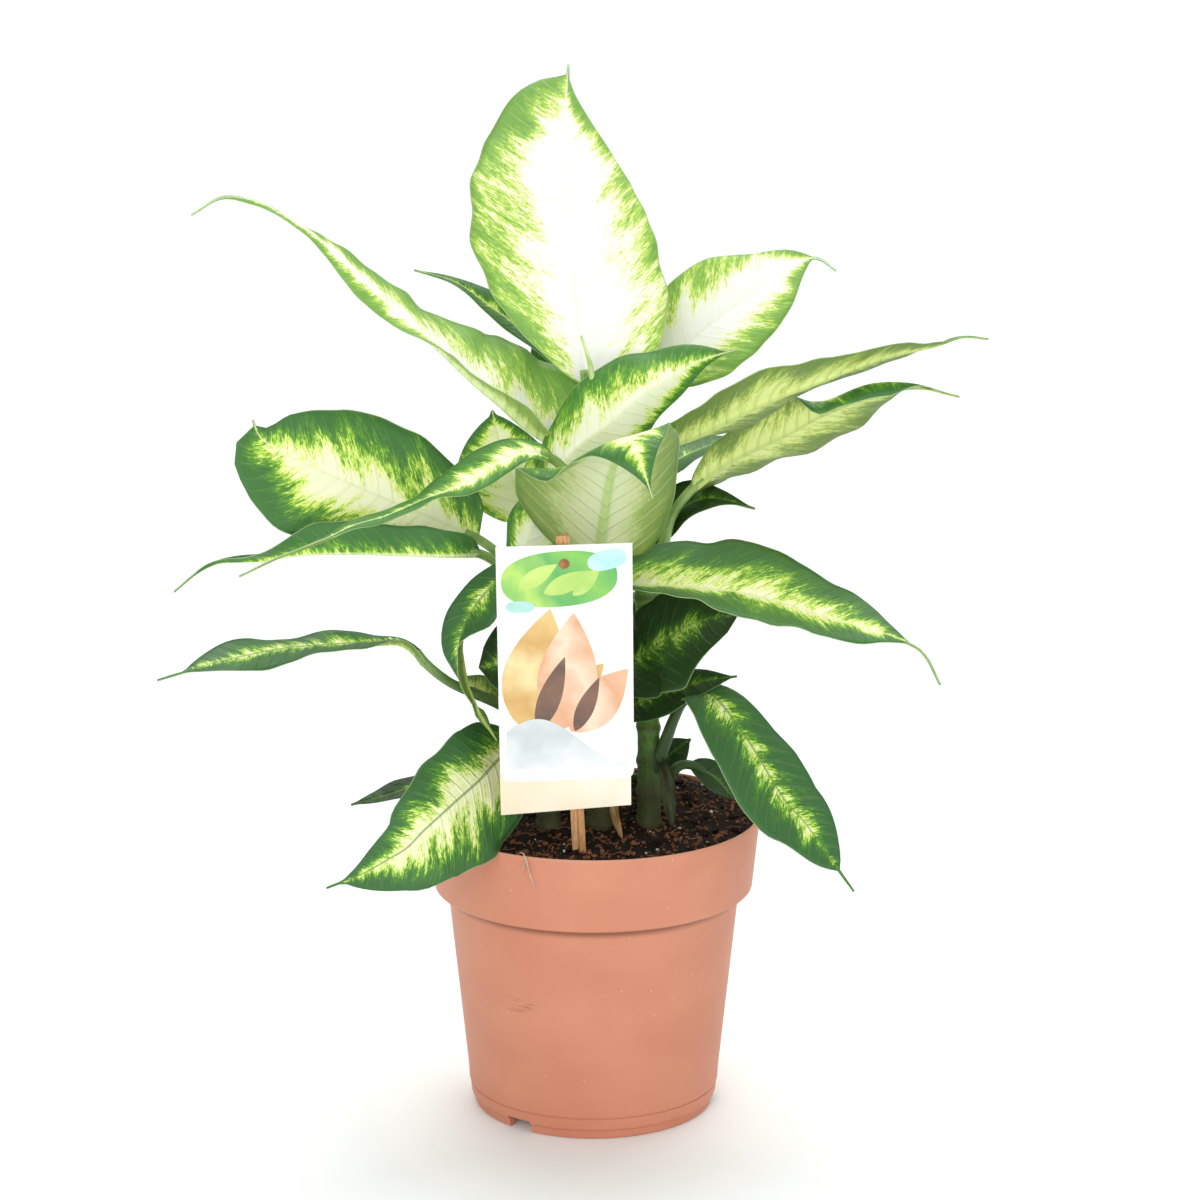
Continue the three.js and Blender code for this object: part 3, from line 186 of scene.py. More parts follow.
LEAVES = {
    "leaf_crown": dict(
        root=["centre", 318], age="young", pale=[0.63, 0.82],
        rib=[[-4, 10, 371], [-8, 26, 403], [-12, 58, 457], [-14, 88, 499], [-13, 106, 522]],
        face=[[0, 0.1, -1, 0.3], [1, -0.1, -1, 0.4]], left=[51, 0.5, 0.43, 0.72],
        right=[45.5, 0.25, 1.25, 0.12],
        bend=[[0, 25, 25, 0, 0], [0.3, 12, 12, -10, -8], [1, 8, 8, -14, -10]], wave=[1.5, 2.2, 0.1],
    ),
    "leaf_upper_right": dict(
        root=["centre", 292], age="young", pale=[0.72, 0.55],
        rib=[
            [29, 32, 372], [45, 38, 385], [61, 42, 398], [83, 50, 412], [104, 60, 425], [114, 65, 427],
            [124, 69, 420],
        ],
        face=[[0, -0.3, -1, 0.5], [1, 0, -0.8, 0.7]], left=[30.5, 0.42, 0.78],
        right=[30.5, 0.32, 0.95, 0.35],
        bend=[[0, 20, 20, 0, 0], [0.4, 14, 14, -12, -12], [1, 8, 8, -20, -20]], wave=[1.2, 2.4, 0.3],
        drip=0.14,
    ),
    "leaf_left_long": dict(
        root=["centre", 279], age="young", pale=[0.38, 0.4],
        rib=[
            [-14, 4, 339], [-32, -2, 351], [-45, -8, 364], [-59, -12, 377], [-72, -14, 390],
            [-82, -16, 400], [-94, -18, 410], [-107, -20, 423], [-120, -22, 436], [-138, -25, 452],
            [-150, -26, 460], [-162, -27, 466], [-178, -28, 468], [-193, -30, 460],
        ],
        face=[[0, 0.2, -0.1, 1], [0.32, 0.2, -0.1, 1], [0.5, 0.2, -0.45, 1], [1, 0.3, -0.3, 1]],
        left=[12.5, 0.24, 1.2], right=[40, 0.18, 2.4, 0.1],
        bend=[
            [0, 30, 70, 0, 0], [0.15, 42, 45, 0, 0], [0.3, 24, 22, 0, -6], [0.44, -4, 0, -8, -8],
            [0.6, -8, -12, -8, -8], [1, 0, 0, -8, -10],
        ],
        wave=[2, 3, 0.2],
    ),
    "leaf_behind_crown_left": dict(
        root=["centre", 305], pale=[0.0, 0.0],
        rib=[[-5, 34, 365], [-27, 40, 386], [-50, 48, 403], [-70, 54, 416], [-91, 58, 422]],
        face=[[0, 0, -0.4, 0.9]], left=[9, 0.4, 1.3], right=[13, 0.4, 1.3],
        bend=[[0, 20, 10, 0, 0], [1, 20, 10, -20, -20]], wave=[1, 2, 0],
    ),
    "leaf_centre_arch": dict(
        root=["left", 238], age="young", upper="upper_bright", pale=[0.5, 0.7],
        rib=[
            [-35, -28, 275], [-33, -26, 297], [-23, -24, 325], [-8, -22, 345], [8, -20, 356],
            [23, -16, 369], [37, -10, 377], [50, -4, 384], [71, 2, 390],
        ],
        face=[[0, -0.4, -1, 0.2], [0.4, -0.15, -1, 0.3], [1, -0.3, -0.9, 0.5]],
        left=[28, 0.62, 0.85, 0.8], right=[28, 0.5, 1.2],
        bend=[
            [0, 5, -40, 0, 0], [0.15, -20, -45, 0, 0], [0.3, -60, -50, 0, 0], [0.42, -42, -55, 0, -8],
            [0.56, -8, -60, -5, -10], [1, 0, -50, -20, -10],
        ],
        wave=[1.5, 2.2, 0.4],
    ),
    "leaf_centre_front": dict(
        root=["centre", 236], under="under_soft", pale=[0.5, 0.5],
        rib=[
            [3, -44, 292], [5, -48, 314], [9, -58, 341], [13, -70, 355], [17, -82, 361], [21, -94, 355],
            [28, -104, 336],
        ],
        face=[[0, 0, 1, 0.3], [0.6, 0, 0.2, 1], [1, 0.1, -0.8, 0.6]], left=[37, 0.4, 1.4, 0.25],
        right=[46, 0.38, 1.4, 0.4],
        bend=[[0, 20, 20, 0, 0], [0.34, 14, 10, 8, -5], [0.55, 14, -14, 8, -22], [1, 10, -10, 10, -20]],
        wave=[1.5, 2, 0.6],
    ),
    "leaf_left_broad": dict(
        root=["left", 250], pale=[0.5, 0.42],
        rib=[
            [-57, -24, 300], [-75, -27, 309], [-100, -33, 321], [-118, -38, 330], [-136, -42, 339],
            [-152, -45, 348], [-161, -46, 355], [-164, -46, 363],
        ],
        face=[[0, 0.1, -1, 0.5], [1, 0.1, -1, 0.4]], left=[35, 0.7, 0.4, 0.8],
        right=[36.5, 0.52, 0.62, 0.42],
        bend=[[0, 15, 15, 0, 0], [0.5, 8, 8, -10, -10], [1, 8, 8, -10, -10]], wave=[1.8, 2.5, 0],
    ),
    "leaf_left_strap": dict(
        root=["centre", 253], upper="upper_bright", pale=[0.44, 0.4, 0.16],
        rib=[
            [-20, -24, 340], [-27, -27, 343], [-38, -34, 344], [-48, -41, 340], [-59, -49, 334],
            [-70, -55, 330], [-79, -62, 328], [-89, -70, 325], [-99, -78, 322], [-114, -86, 319],
            [-124, -91, 315], [-136, -96, 311], [-148, -100, 307], [-166, -105, 299],
        ],
        face=[[0, 0, -0.6, 1], [0.3, 0, -0.6, 1], [0.45, -0.2, -0.1, 1], [1, 0, -0.2, 1]],
        left=[10, 0.22, 1.5], right=[12, 0.24, 1.6],
        bend=[[0, 14, 14, 0, 0], [0.5, 3, 3, -4, -4], [1, 0, 0, -10, -10]], wave=[1.2, 2.5, 0.5],
        drip=0.1,
    ),
    "leaf_left_under": dict(
        root=["left", 226], under="upper_grown", pale=[-0.02, 0.1],
        rib=[
            [-57, -34, 295], [-69, -46, 297], [-91, -53, 299], [-120, -56, 300], [-146, -56, 299],
            [-160, -54, 296], [-172, -52, 295], [-182, -51, 294], [-192, -50, 289], [-204, -50, 279],
        ],
        face=[[0, 0, 0, 1]], left=[16, 0.4, 1.5, 0.5], right=[7, 0.3, 1.5, 0.4],
        bend=[[0, 75, 65, 0, 0], [0.5, 75, 65, 10, 10], [0.7, 30, 30, 0, 0], [1, 5, 5, 0, 0]],
        wave=[1.2, 2.5, 0.2], drip=0.08,
    ),
    "leaf_behind_left": dict(
        root=["left", 262], pale=[0.66, 0.66],
        rib=[[-34, 6, 302], [-41, 12, 325], [-48, 20, 344], [-51, 28, 355]],
        face=[[0, -0.2, -1, 0.4], [1, -0.2, -1, 0.6]], left=[27, 0.5, 0.9], right=[20, 0.45, 0.9],
        bend=[[0, 15, 15, 0, 0], [1, 10, 10, -10, -10]], wave=[1, 1.8, 0.3],
    ),
    "leaf_right_upper": dict(
        root=["right", 276], pale=[0.4, 0.45],
        rib=[
            [23, -4, 339], [51, -8, 349], [84, -12, 366], [115, -6, 377], [145, 4, 386], [171, 16, 390],
            [185, 24, 393], [198, 30, 391],
        ],
        face=[[0, 0, 0.36, 1], [0.7, 0, 0.3, 1], [1, 0, 0.1, 1]], left=[20, 0.45, 0.9],
        right=[24, 0.42, 1.2], bend=[[0, 0, 25, 0, 0], [0.5, -8, 22, -4, 4], [1, -8, 5, 0, 0]],
        wave=[1.5, 2.6, 0.1], drip=0.1,
    ),
    "leaf_right_second": dict(
        root=["right", 250], pale=[0.45, 0.6],
        rib=[
            [50, 22, 316], [65, 27, 327], [77, 30, 333], [98, 30, 343], [113, 27, 352], [128, 20, 360],
            [143, 12, 368], [159, 5, 371], [181, -2, 367],
        ],
        face=[[0, 0, 0.7, 0.7], [0.6, 0, 0.6, 0.8], [1, 0, 0.3, 1]], left=[29, 0.42, 0.95],
        right=[27, 0.58, 0.8, 0.7],
        bend=[
            [0, 15, 15, 0, 0], [0.45, 5, 8, 0, 0], [0.58, 5, 16, 0, -105], [0.78, 5, 32, 0, -130],
            [0.9, 0, 10, 0, -30], [1, 0, 5, 0, 0],
        ],
        wave=[1.5, 2.6, 0.6], drip=0.1,
    ),
    "leaf_behind_right": dict(
        root=["right", 232], upper="upper_shade", pale=[-0.15, -0.15],
        rib=[[29, 20, 287], [41, 24, 302], [54, 28, 309], [63, 30, 309], [82, 30, 304]],
        face=[[0, 0, -0.5, 1], [1, 0, -0.3, 1]], left=[14, 0.45, 1.2],
        bend=[[0, 20, 20, 0, 0], [1, 10, 10, 0, 0]], wave=[1, 2, 0.4],
    ),
    "leaf_right_mid": dict(
        root=["centre", 216], age="old", upper="upper_grown", pale=[0.22, 0.3],
        rib=[
            [3, -40, 278], [21, -45, 281], [50, -55, 282], [73, -63, 281], [94, -70, 277],
            [114, -76, 272], [131, -81, 268], [145, -84, 264], [157, -86, 258], [166, -88, 242],
        ],
        face=[[0, 0, -0.25, 1], [1, 0.1, -0.3, 1]], left=[37, 0.36, 0.95, 0.5],
        right=[31, 0.62, 1.1, 0.9], bend=[[0, 20, 20, 0, 0], [0.4, 13, 13, 0, -6], [1, 10, 8, 0, -10]],
        wave=[1.6, 3, 0.3], drip=0.14,
    ),
    "leaf_right_below": dict(
        root=["centre", 192], age="old", upper="upper_shade", pale=[0.08, 0.1],
        rib=[[5, -14, 238], [21, -20, 238], [34, -26, 248], [51, -34, 260], [74, -44, 267]],
        face=[[0, 0, -0.7, 0.8], [1, 0.1, -0.6, 0.8]], left=[24, 0.45, 1.1], right=[38, 0.6, 0.6],
        bend=LOW_BEND, wave=[1.3, 2.2, 0.2],
    ),
    "leaf_right_low": dict(
        root=["centre", 168], age="old", upper="upper_shade", pale=[0.0, 0.0],
        rib=[[8, -14, 207], [28, -20, 217], [53, -28, 228], [71, -32, 232]],
        face=[[0, 0, -0.7, 0.8], [1, 0.1, -0.5, 0.8]], left=[12, 0.5, 1.1], right=[16, 0.5, 1.1],
        bend=LOW_BEND, wave=[1, 2, 0.7],
    ),
    "leaf_right_droop": dict(
        root=["right", 174], age="old", pale=[0.06, 0.1],
        rib=[
            [51, -25, 221], [57, -32, 223], [63, -40, 220], [69, -46, 213], [79, -54, 200],
            [86, -60, 189], [95, -66, 176], [103, -70, 168], [115, -75, 152], [127, -80, 136],
        ],
        face=[[0, 0.3, -0.6, 0.7], [1, 0.5, -0.8, 0.4]], left=[19.5, 0.62, 0.75, 0.7],
        right=[25, 0.5, 0.7, 0.3], bend=[[0, 15, 15, 0, 0], [0.4, 8, 8, -8, -8], [1, 8, 8, -10, -10]],
        wave=[1.2, 2.5, 0.2], drip=0.1,
    ),
    "leaf_left_droop": dict(
        root=["left", 171], age="old", pale=[0.44, 0.36],
        rib=[
            [-37, -26, 197], [-47, -42, 192], [-56, -58, 186], [-65, -75, 182], [-73, -89, 178],
            [-82, -99, 172], [-89, -105, 166], [-97, -109, 162], [-109, -113, 156], [-127, -115, 149],
        ],
        face=[[0, 0.2, -0.7, 0.5], [0.25, 0.4, -0.9, 0.2], [1, 0.3, -0.9, 0.2]],
        left=[34, 0.4, 0.85, 0.6], right=[27.5, 0.34, 1.05, 0.5],
        bend=[[0, 0, 10, 0, 0], [0.4, 4, 8, -4, -8], [1, 8, 8, -10, -10]], wave=[1.5, 2.5, 0.4],
        drip=0.06,
    ),
    "leaf_left_droop_behind": dict(
        root=["left", 160], age="old", upper="upper_shade", pale=[-0.2, -0.1],
        rib=[[-71, -34, 183], [-90, -42, 178], [-105, -50, 175], [-119, -56, 173]],
        face=[[0, 0, -0.4, 1]], left=[7, 0.5, 1.1], bend=HIDDEN_BEND, wave=[0.6, 2, 0],
    ),
    "leaf_far_left": dict(
        root=["left", 193], age="old", pale=[0.14, 0.18],
        rib=[
            [-82, -52, 244], [-87, -54, 251], [-94, -57, 256], [-107, -63, 257], [-127, -73, 258],
            [-145, -83, 259], [-165, -95, 258], [-183, -106, 256], [-204, -118, 252],
        ],
        face=[[0, 0, -0.3, 1], [0.3, 0, -0.3, 1], [1, 0, -0.35, 1]], left=[14, 0.78, 0.85, 1.3],
        right=[13, 0.76, 0.8, 1.5],
        bend=[[0, 30, 10, 0, 0], [0.3, 15, 15, 0, 0], [0.5, 5, 5, -10, -10], [1, 5, 5, 0, 0]],
        wave=[2, 2.8, 0.15], drip=0.1,
    ),
    "leaf_hang_left": dict(
        root=["left", 215], age="old", pale=[-0.05, 0.08],
        rib=[
            [-39, -42, 290], [-47, -46, 283], [-55, -49, 275], [-62, -52, 264], [-65, -54, 254],
            [-64, -55, 244], [-62, -56, 234], [-57, -57, 222], [-47, -58, 206],
        ],
        face=[
            [0, -0.5, -0.8, 0.4], [0.5, -0.6, -0.8, 0.1], [0.75, -0.8, -0.2, 0], [0.9, -0.2, 0.8, 0.2],
            [1, -0.2, 0.8, 0.2],
        ],
        left=[14, 0.25, 1.5, 0.4], right=[11.5, 0.3, 1.1, 0.4],
        bend=[[0, 5, 5, 0, 0], [0.3, 5, 5, 0, 0], [0.5, 55, 5, 0, 0], [1, 5, 5, 0, 0]],
        wave=[1.2, 2, 0.3],
    ),
    "leaf_behind_label_left": dict(
        root=["left", 204], upper="upper_shade", pale=[0.1, 0.3],
        rib=[[-24, -34, 245], [-42, -42, 241], [-56, -46, 240]],
        face=[[0, -0.2, -0.8, 0.5], [1, -0.3, -0.8, 0.5]], left=[20, 0.5, 0.5], bend=HIDDEN_BEND,
        wave=[0.8, 2, 0],
    ),
    "leaf_low_left_strip": dict(
        root=["left", 182], upper="upper_shade",
        rib=[[-47, -20, 216], [-56, -24, 223], [-66, -28, 231]], face=[[0, -0.3, 0.6, 0.8]],
        left=[9, 0.5, 0.9], bend=HIDDEN_BEND, wave=[0.5, 2, 0],
    ),
    "leaf_behind_low_right": dict(
        root=["back", 160], upper="upper_shade", pale=[-0.2, -0.2],
        rib=[[29, 22, 166], [39, 24, 176], [50, 26, 184]], face=[[0, 0, -0.9, 0.4]], left=[8, 0.5, 0.9],
        right=[10, 0.5, 0.9], bend=HIDDEN_BEND, wave=[0.5, 2, 0],
    ),
    "leaf_low_right": dict(
        root=["right", 158], upper="upper_shade", pale=[-0.2, -0.2],
        rib=[[50, -2, 178], [62, 2, 170], [72, 6, 157]], face=[[0, 0.2, -0.8, 0.6]], left=[8, 0.5, 0.9],
        bend=HIDDEN_BEND, wave=[0.5, 2, 0],
    ),
    "leaf_back_crown": back_leaf(
        266, [[0, 44, 334], [1, 66, 372], [0, 88, 402], [-2, 105, 414], [-4, 117, 413]],
        [[0, 0, -0.5, 1], [1, 0, 0, 1]], half=34, phase=0.2, cane="centre",
    ),
    "leaf_back_left": back_leaf(
        206, [[-25, 34, 297], [-46, 62, 309], [-72, 90, 308], [-97, 113, 296]],
        [[0, 0, 0, 1], [1, 0, 0.1, 1]], half=30, phase=0.5,
    ),
    "leaf_back_right": back_leaf(
        197, [[14, 34, 308], [42, 64, 322], [72, 91, 328], [98, 114, 322]],
        [[0, 0, 0, 1], [1, 0, 0.1, 1]], half=30, phase=0.1, pale=[-0.2, -0.2],
    ),
    "leaf_back_low": back_leaf(
        188, [[3, 46, 244], [3, 74, 244], [2, 100, 230], [1, 116, 208]],
        [[0, 0, 0.1, 1], [1, 0, 0.6, 1]], half=27, phase=0.3,
    ),
    "leaf_back_low_left": back_leaf(
        170, [[-17, 44, 222], [-32, 70, 218], [-42, 96, 202], [-50, 114, 178]],
        [[0, -0.2, 0.1, 1], [1, -0.2, 0.5, 1]], half=24, phase=0.6,
    ),
    "leaf_back_low_right": back_leaf(
        179, [[24, 40, 233], [46, 66, 243], [72, 92, 243], [96, 114, 230]],
        [[0, 0, 0.1, 1], [1, 0.2, 0.4, 1]], half=25, phase=0.8,
    ),
}

# ---------------------------------------------------------------- curves


def mix(a, b, share):
    return a + (b - a) * share


def smoothstep(x, low, high):
    share = np.clip((x - low) / (high - low), 0, 1)
    return share * share * (3 - 2 * share)


def unit(v):
    return v / np.linalg.norm(v)


class Path:
    """A centripetal Catmull-Rom curve through a few points, walked at an even pace."""

    DIVISIONS = 200

    def __init__(self, points):
        self.points = np.array(points, float)
        samples = np.array([self.place(i / self.DIVISIONS) for i in range(self.DIVISIONS + 1)])
        steps = np.linalg.norm(np.diff(samples, axis=0), axis=1)
        self.lengths = np.concatenate([[0], np.cumsum(steps)])
        self.length = self.lengths[-1]

    def place(self, t):
        p = self.points
        last = len(p) - 1
        low = min(int(t * last), last - 1)
        w = t * last - low
        before = p[low - 1] if low > 0 else 2 * p[0] - p[1]
        after = p[low + 2] if low + 2 <= last else 2 * p[last] - p[last - 1]
        quad = (before, p[low], p[low + 1], after)
        gaps = [math.sqrt(np.linalg.norm(quad[i + 1] - quad[i])) for i in range(3)]
        a, b, c, d = quad
        start = (b - a) / gaps[0] - (c - a) / (gaps[0] + gaps[1]) + (c - b) / gaps[1]
        end = (c - b) / gaps[1] - (d - b) / (gaps[1] + gaps[2]) + (d - c) / gaps[2]
        start, end = start * gaps[1], end * gaps[1]
        curve = (3 * (c - b) - 2 * start - end) * w**2 + (2 * (b - c) + start + end) * w**3
        return b + start * w + curve

    def share(self, t):
        target = min(max(t, 0), 1) * self.length
        return float(np.interp(target, self.lengths, np.linspace(0, 1, self.DIVISIONS + 1)))

    def at(self, t):
        return self.place(self.share(t))

    def along(self, t):
        share = self.share(t)
        step = 1e-4
        return unit(self.place(min(share + step, 1)) - self.place(max(share - step, 0)))

    def share_at_height(self, z):
        low, high = 0.0, 1.0
        for _ in range(30):
            middle = (low + high) / 2
            if self.at(middle)[2] < z:
                low = middle
            else:
                high = middle
        return low


def keyed(rows, t):
    """Rows of [t, value, ...] read at t, eased from one row to the next."""
    if t <= rows[0][0]:
        return np.array(rows[0][1:], float)
    for low, high in zip(rows, rows[1:]):
        if t < high[0]:
            ease = smoothstep(t, low[0], high[0])
            return mix(np.array(low[1:], float), np.array(high[1:], float), ease)
    return np.array(rows[-1][1:], float)


def bezier_points(start, rise, approach, end, shares):
    """Points of a cubic curve at these shares of its length."""
    def place(t):
        rest = 1 - t
        return rest**3 * start + 3 * rest**2 * t * rise + 3 * rest * t**2 * approach + t**3 * end

    times = np.linspace(0, 1, 201)
    samples = np.array([place(t) for t in times])
    lengths = np.concatenate([[0], np.cumsum(np.linalg.norm(np.diff(samples, axis=0), axis=1))])
    return [place(np.interp(share * lengths[-1], lengths, times)) for share in shares]


# ---------------------------------------------------------------- meshes


class Shape:
    """Points, faces and per-point values that grow into one mesh."""

    def __init__(self):
        self.points = []
        self.faces = []
        self.slots = []
        self.place = []
        self.tone = []

    def add(self, points, faces, slot=0, place=None, tone=None):
        """slot is one number, or one for each face."""
        base = len(self.points)
        self.points += [tuple(p) for p in points]
        self.faces += [tuple(base + i for i in face) for face in faces]
        self.slots += list(slot) if hasattr(slot, "__len__") else [slot] * len(faces)
        self.place += [tuple(v) for v in place] if place is not None else [(0, 0, 0)] * len(points)
        self.tone += [tuple(v) for v in tone] if tone is not None else [(0, 0, 0)] * len(points)

    def build(self, name, materials, sharp=None):
        """Makes the object. sharp: the angle above which an edge stays crisp."""
        mesh = bpy.data.meshes.new(name)
        mesh.from_pydata([[c * MM for c in p] for p in self.points], [], self.faces)
        mesh.validate()
        for material in materials:
            mesh.materials.append(material)
        mesh.polygons.foreach_set("material_index", self.slots)
        mesh.polygons.foreach_set("use_smooth", [True] * len(self.faces))
        for label, values in (("surface_place", self.place), ("surface_tone", self.tone)):
            layer = mesh.attributes.new(label, "FLOAT_VECTOR", "POINT")
            layer.data.foreach_set("vector", np.array(values, np.float32).ravel())
        if sharp is not None:
            crease(mesh, sharp)
        mesh.update()
        return in_scene(name, mesh)


def in_scene(name, data):
    """A new object in the scene that holds this mesh, light or camera."""
    piece = bpy.data.objects.new(name, data)
    bpy.context.scene.collection.objects.link(piece)
    return piece


def crease(mesh, angle):
    """Keeps edges sharper than this angle crisp in the shading."""
    work = bmesh.new()
    work.from_mesh(mesh)
    for edge in work.edges:
        edge.smooth = edge.calc_face_angle(0) < math.radians(angle)
    work.to_mesh(mesh)
    work.free()


def dress(piece, slot, *nodes):
    """Puts a finished piece on the body, in place of these nodes. slot: not used."""
    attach(piece, BODY)
    if nodes:
        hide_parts(*nodes)
    return piece


def grid_faces(rows, columns, closed):
    """Quads between rows of points; closed joins each row's last point to its first."""
    faces = []
    for i in range(rows - 1):
        for j in range(columns if closed else columns - 1):
            a, b = i * columns + j, i * columns + (j + 1) % columns
            faces.append((a, b, b + columns, a + columns))
    return faces


def sheet_faces(rows, columns):
    """Faces of a closed sheet whose upper points come first: its front, back and edge."""
    count = rows * columns
    front = grid_faces(rows, columns, False)
    back = [tuple(count + i for i in reversed(face)) for face in front]
    edge = list(range(columns - 1))
    edge += [i * columns + columns - 1 for i in range(rows - 1)]
    edge += [count - columns + j for j in range(columns - 1, 0, -1)]
    edge += [i * columns for i in range(rows - 1, 0, -1)]
    rim = [(a, a + count, b + count, b) for a, b in zip(edge, edge[1:] + edge[:1])]
    return front, back, rim


def tube(path, radius_at, sides, steps, seed=0.0):
    """A closed tube along a path. radius_at(t, angle from the top) gives its radius."""
    points, place = [], []
    start = path.along(0)
    aside = np.array([0.0, 1, 0] if abs(start[0]) > 0.9 else [1.0, 0, 0])
    for i in range(steps + 1):
        t = i / steps
        centre, along = path.at(t), path.along(t)
        second = unit(np.cross(along, aside))
        first = unit(np.cross(second, along))
        aside = first
        top = math.atan2(second[2], first[2])
        for k in range(sides):
            angle = 2 * math.pi * k / sides
            from_top = (angle - top + math.pi) % (2 * math.pi) - math.pi
            radius = radius_at(t, from_top)
            points.append(centre + radius * (first * math.cos(angle) + second * math.sin(angle)))
            place.append((t * path.length, abs(from_top) * radius, seed))
    faces = grid_faces(steps + 1, sides, True)
    faces.append(tuple(reversed(range(sides))))
    faces.append(tuple(steps * sides + k for k in range(sides)))
    return points, faces, place


def lathe_points(profile, segments, lift=None):
    """A closed surface turned about Z from a profile that starts and ends on the axis."""
    points, faces = [], []
    rings = []
    for radius, z in profile:
        ring = []
        for k in range(segments if radius > 0 else 1):
            angle = 2 * math.pi * k / segments
            x, y = radius * math.sin(angle), -radius * math.cos(angle)
            ring.append(len(points))
            points.append((x, y, z if lift is None else lift(x, y, z)))
        rings.append(ring)
    for low, high in zip(rings, rings[1:]):
        for k in range(segments):
            a, b = low[k % len(low)], low[(k + 1) % len(low)]
            c, d = high[(k + 1) % len(high)], high[k % len(high)]
            face = [a]
            for corner in (b, c, d):
                if corner not in face:
                    face.append(corner)
            if len(face) > 2:
                faces.append(tuple(face))
    return points, faces


def rounded(corners, steps=4):
    """A profile from corners of (radius, height, how far the corner is rounded)."""
    places = [np.array(corner[:2], float) for corner in corners]
    result = []
    for i, here in enumerate(places):
        radius = corners[i][2]
        if not radius:
            result.append(tuple(here))
            continue
        back = unit(places[i - 1] - here)
        ahead = unit(places[i + 1] - here)
        half = math.acos(max(-1, min(1, float(back @ ahead)))) / 2
        reach = radius / math.tan(half)
        centre = here + unit(back + ahead) * radius / math.sin(half)
        start, end = here + back * reach - centre, here + ahead * reach - centre
        for k in range(steps + 1):
            spoke = unit(mix(start, end, k / steps)) * radius
            result.append(tuple(centre + spoke))
    return result


# ---------------------------------------------------------------- materials


def paint(colour):
    """A screen colour of 0 to 255 a channel as the linear one of a socket; a socket stays."""
    if not isinstance(colour, tuple):
        return colour
    shares = [channel / 255 for channel in colour]
    return [s / 12.92 if s <= 0.04045 else ((s + 0.055) / 1.055) ** 2.4 for s in shares] + [1.0]


class Look:
    """A procedural material, built up node by node. Colours are sockets or screen colours."""

    def __init__(self, name):
        self.material = bpy.data.materials.new(name)
        self.material.use_nodes = True
        self.tree = self.material.node_tree
        self.tree.nodes.clear()

    def new(self, kind, inputs=(), **settings):
        node = self.tree.nodes.new(kind)
        for key, value in settings.items():
            setattr(node, key, value)
        for key, value in dict(inputs).items():
            if isinstance(value, bpy.types.NodeSocket):
                self.tree.links.new(value, node.inputs[key])
            else:
                node.inputs[key].default_value = value
        return node

    def math(self, operation, a, b=0.0):
        return self.new("ShaderNodeMath", {0: a, 1: b}, operation=operation).outputs[0]

    def vector(self, operation, a, b=(0, 0, 0)):
        return self.new("ShaderNodeVectorMath", {0: a, 1: b}, operation=operation).outputs

    def add(self, a, b):
        return self.math("ADD", a, b)

    def times(self, a, b):
        return self.math("MULTIPLY", a, b)

    def ease(self, value, low, high):
        """0 at low and 1 at high, smooth between and level beyond."""
        inputs = {"Value": value, "From Min": low, "From Max": high}
        return self.new("ShaderNodeMapRange", inputs, interpolation_type="SMOOTHSTEP").outputs[0]

    def swing(self, value, reach):
        """A value of 0 to 1 as one that swings about 0, over this reach."""
        return self.times(self.add(value, -0.5), reach)

    def blend(self, share, a, b):
        inputs = {0: share, 6: paint(a), 7: paint(b)}
        return self.new("ShaderNodeMix", inputs, data_type="RGBA").outputs[2]

    def coat(self, colour, where, cover, over):
        """The colour with another one over it: cover is its share where `where` is 1."""
        return self.blend(self.times(where, cover), colour, over)

    def stops(self, value, colours):
        """A ramp of {place: colour, ...}."""
        node = self.new("ShaderNodeValToRGB", {0: value})
        elements = node.color_ramp.elements
        while len(elements) < len(colours):
            elements.new(0.5)
        for element, (place, colour) in zip(elements, colours.items()):
            element.position = place
            element.color = paint(colour)
        return node.outputs[0]

    def noise(self, vector, factors, detail=2.0, roughness=0.5):
        vector = self.vector("MULTIPLY", vector, factors)[0]
        inputs = {"Vector": vector, "Scale": 1.0, "Detail": detail, "Roughness": roughness}
        return self.new("ShaderNodeTexNoise", inputs).outputs[0]

    def cells(self, vector, scale):
        inputs = {"Vector": self.vector("MULTIPLY", vector, [scale] * 3)[0], "Scale": 1.0}
        return self.new("ShaderNodeTexVoronoi", inputs).outputs["Distance"]

    def stored(self, name):
        """A mesh's own values: surface_place or surface_tone."""
        return self.new("ShaderNodeAttribute", attribute_name=name).outputs["Vector"]

    def parts(self, vector):
        return self.new("ShaderNodeSeparateXYZ", {0: vector}).outputs

    def where(self):
        """The place on the object, in millimetres."""
        place = self.new("ShaderNodeTexCoord").outputs["Object"]
        return self.vector("MULTIPLY", place, [1 / MM] * 3)[0]

    def finish(self, colour, roughness, specular, relief=None, **others):
        """relief: a height and how deep it goes, in millimetres. others: more shader inputs."""
        inputs = {"Base Color": colour, "Roughness": roughness, "Specular IOR Level": specular}
        if relief:
            bump = {"Height": relief[0], "Strength": 1.0, "Distance": relief[1] * MM}
            inputs["Normal"] = self.new("ShaderNodeBump", bump).outputs[0]
        for name, value in others.items():
            inputs[name.replace("_", " ")] = value
        shader = self.new("ShaderNodeBsdfPrincipled", inputs)
        output = self.new("ShaderNodeOutputMaterial")
        self.tree.links.new(shader.outputs[0], output.inputs[0])
        return self.material


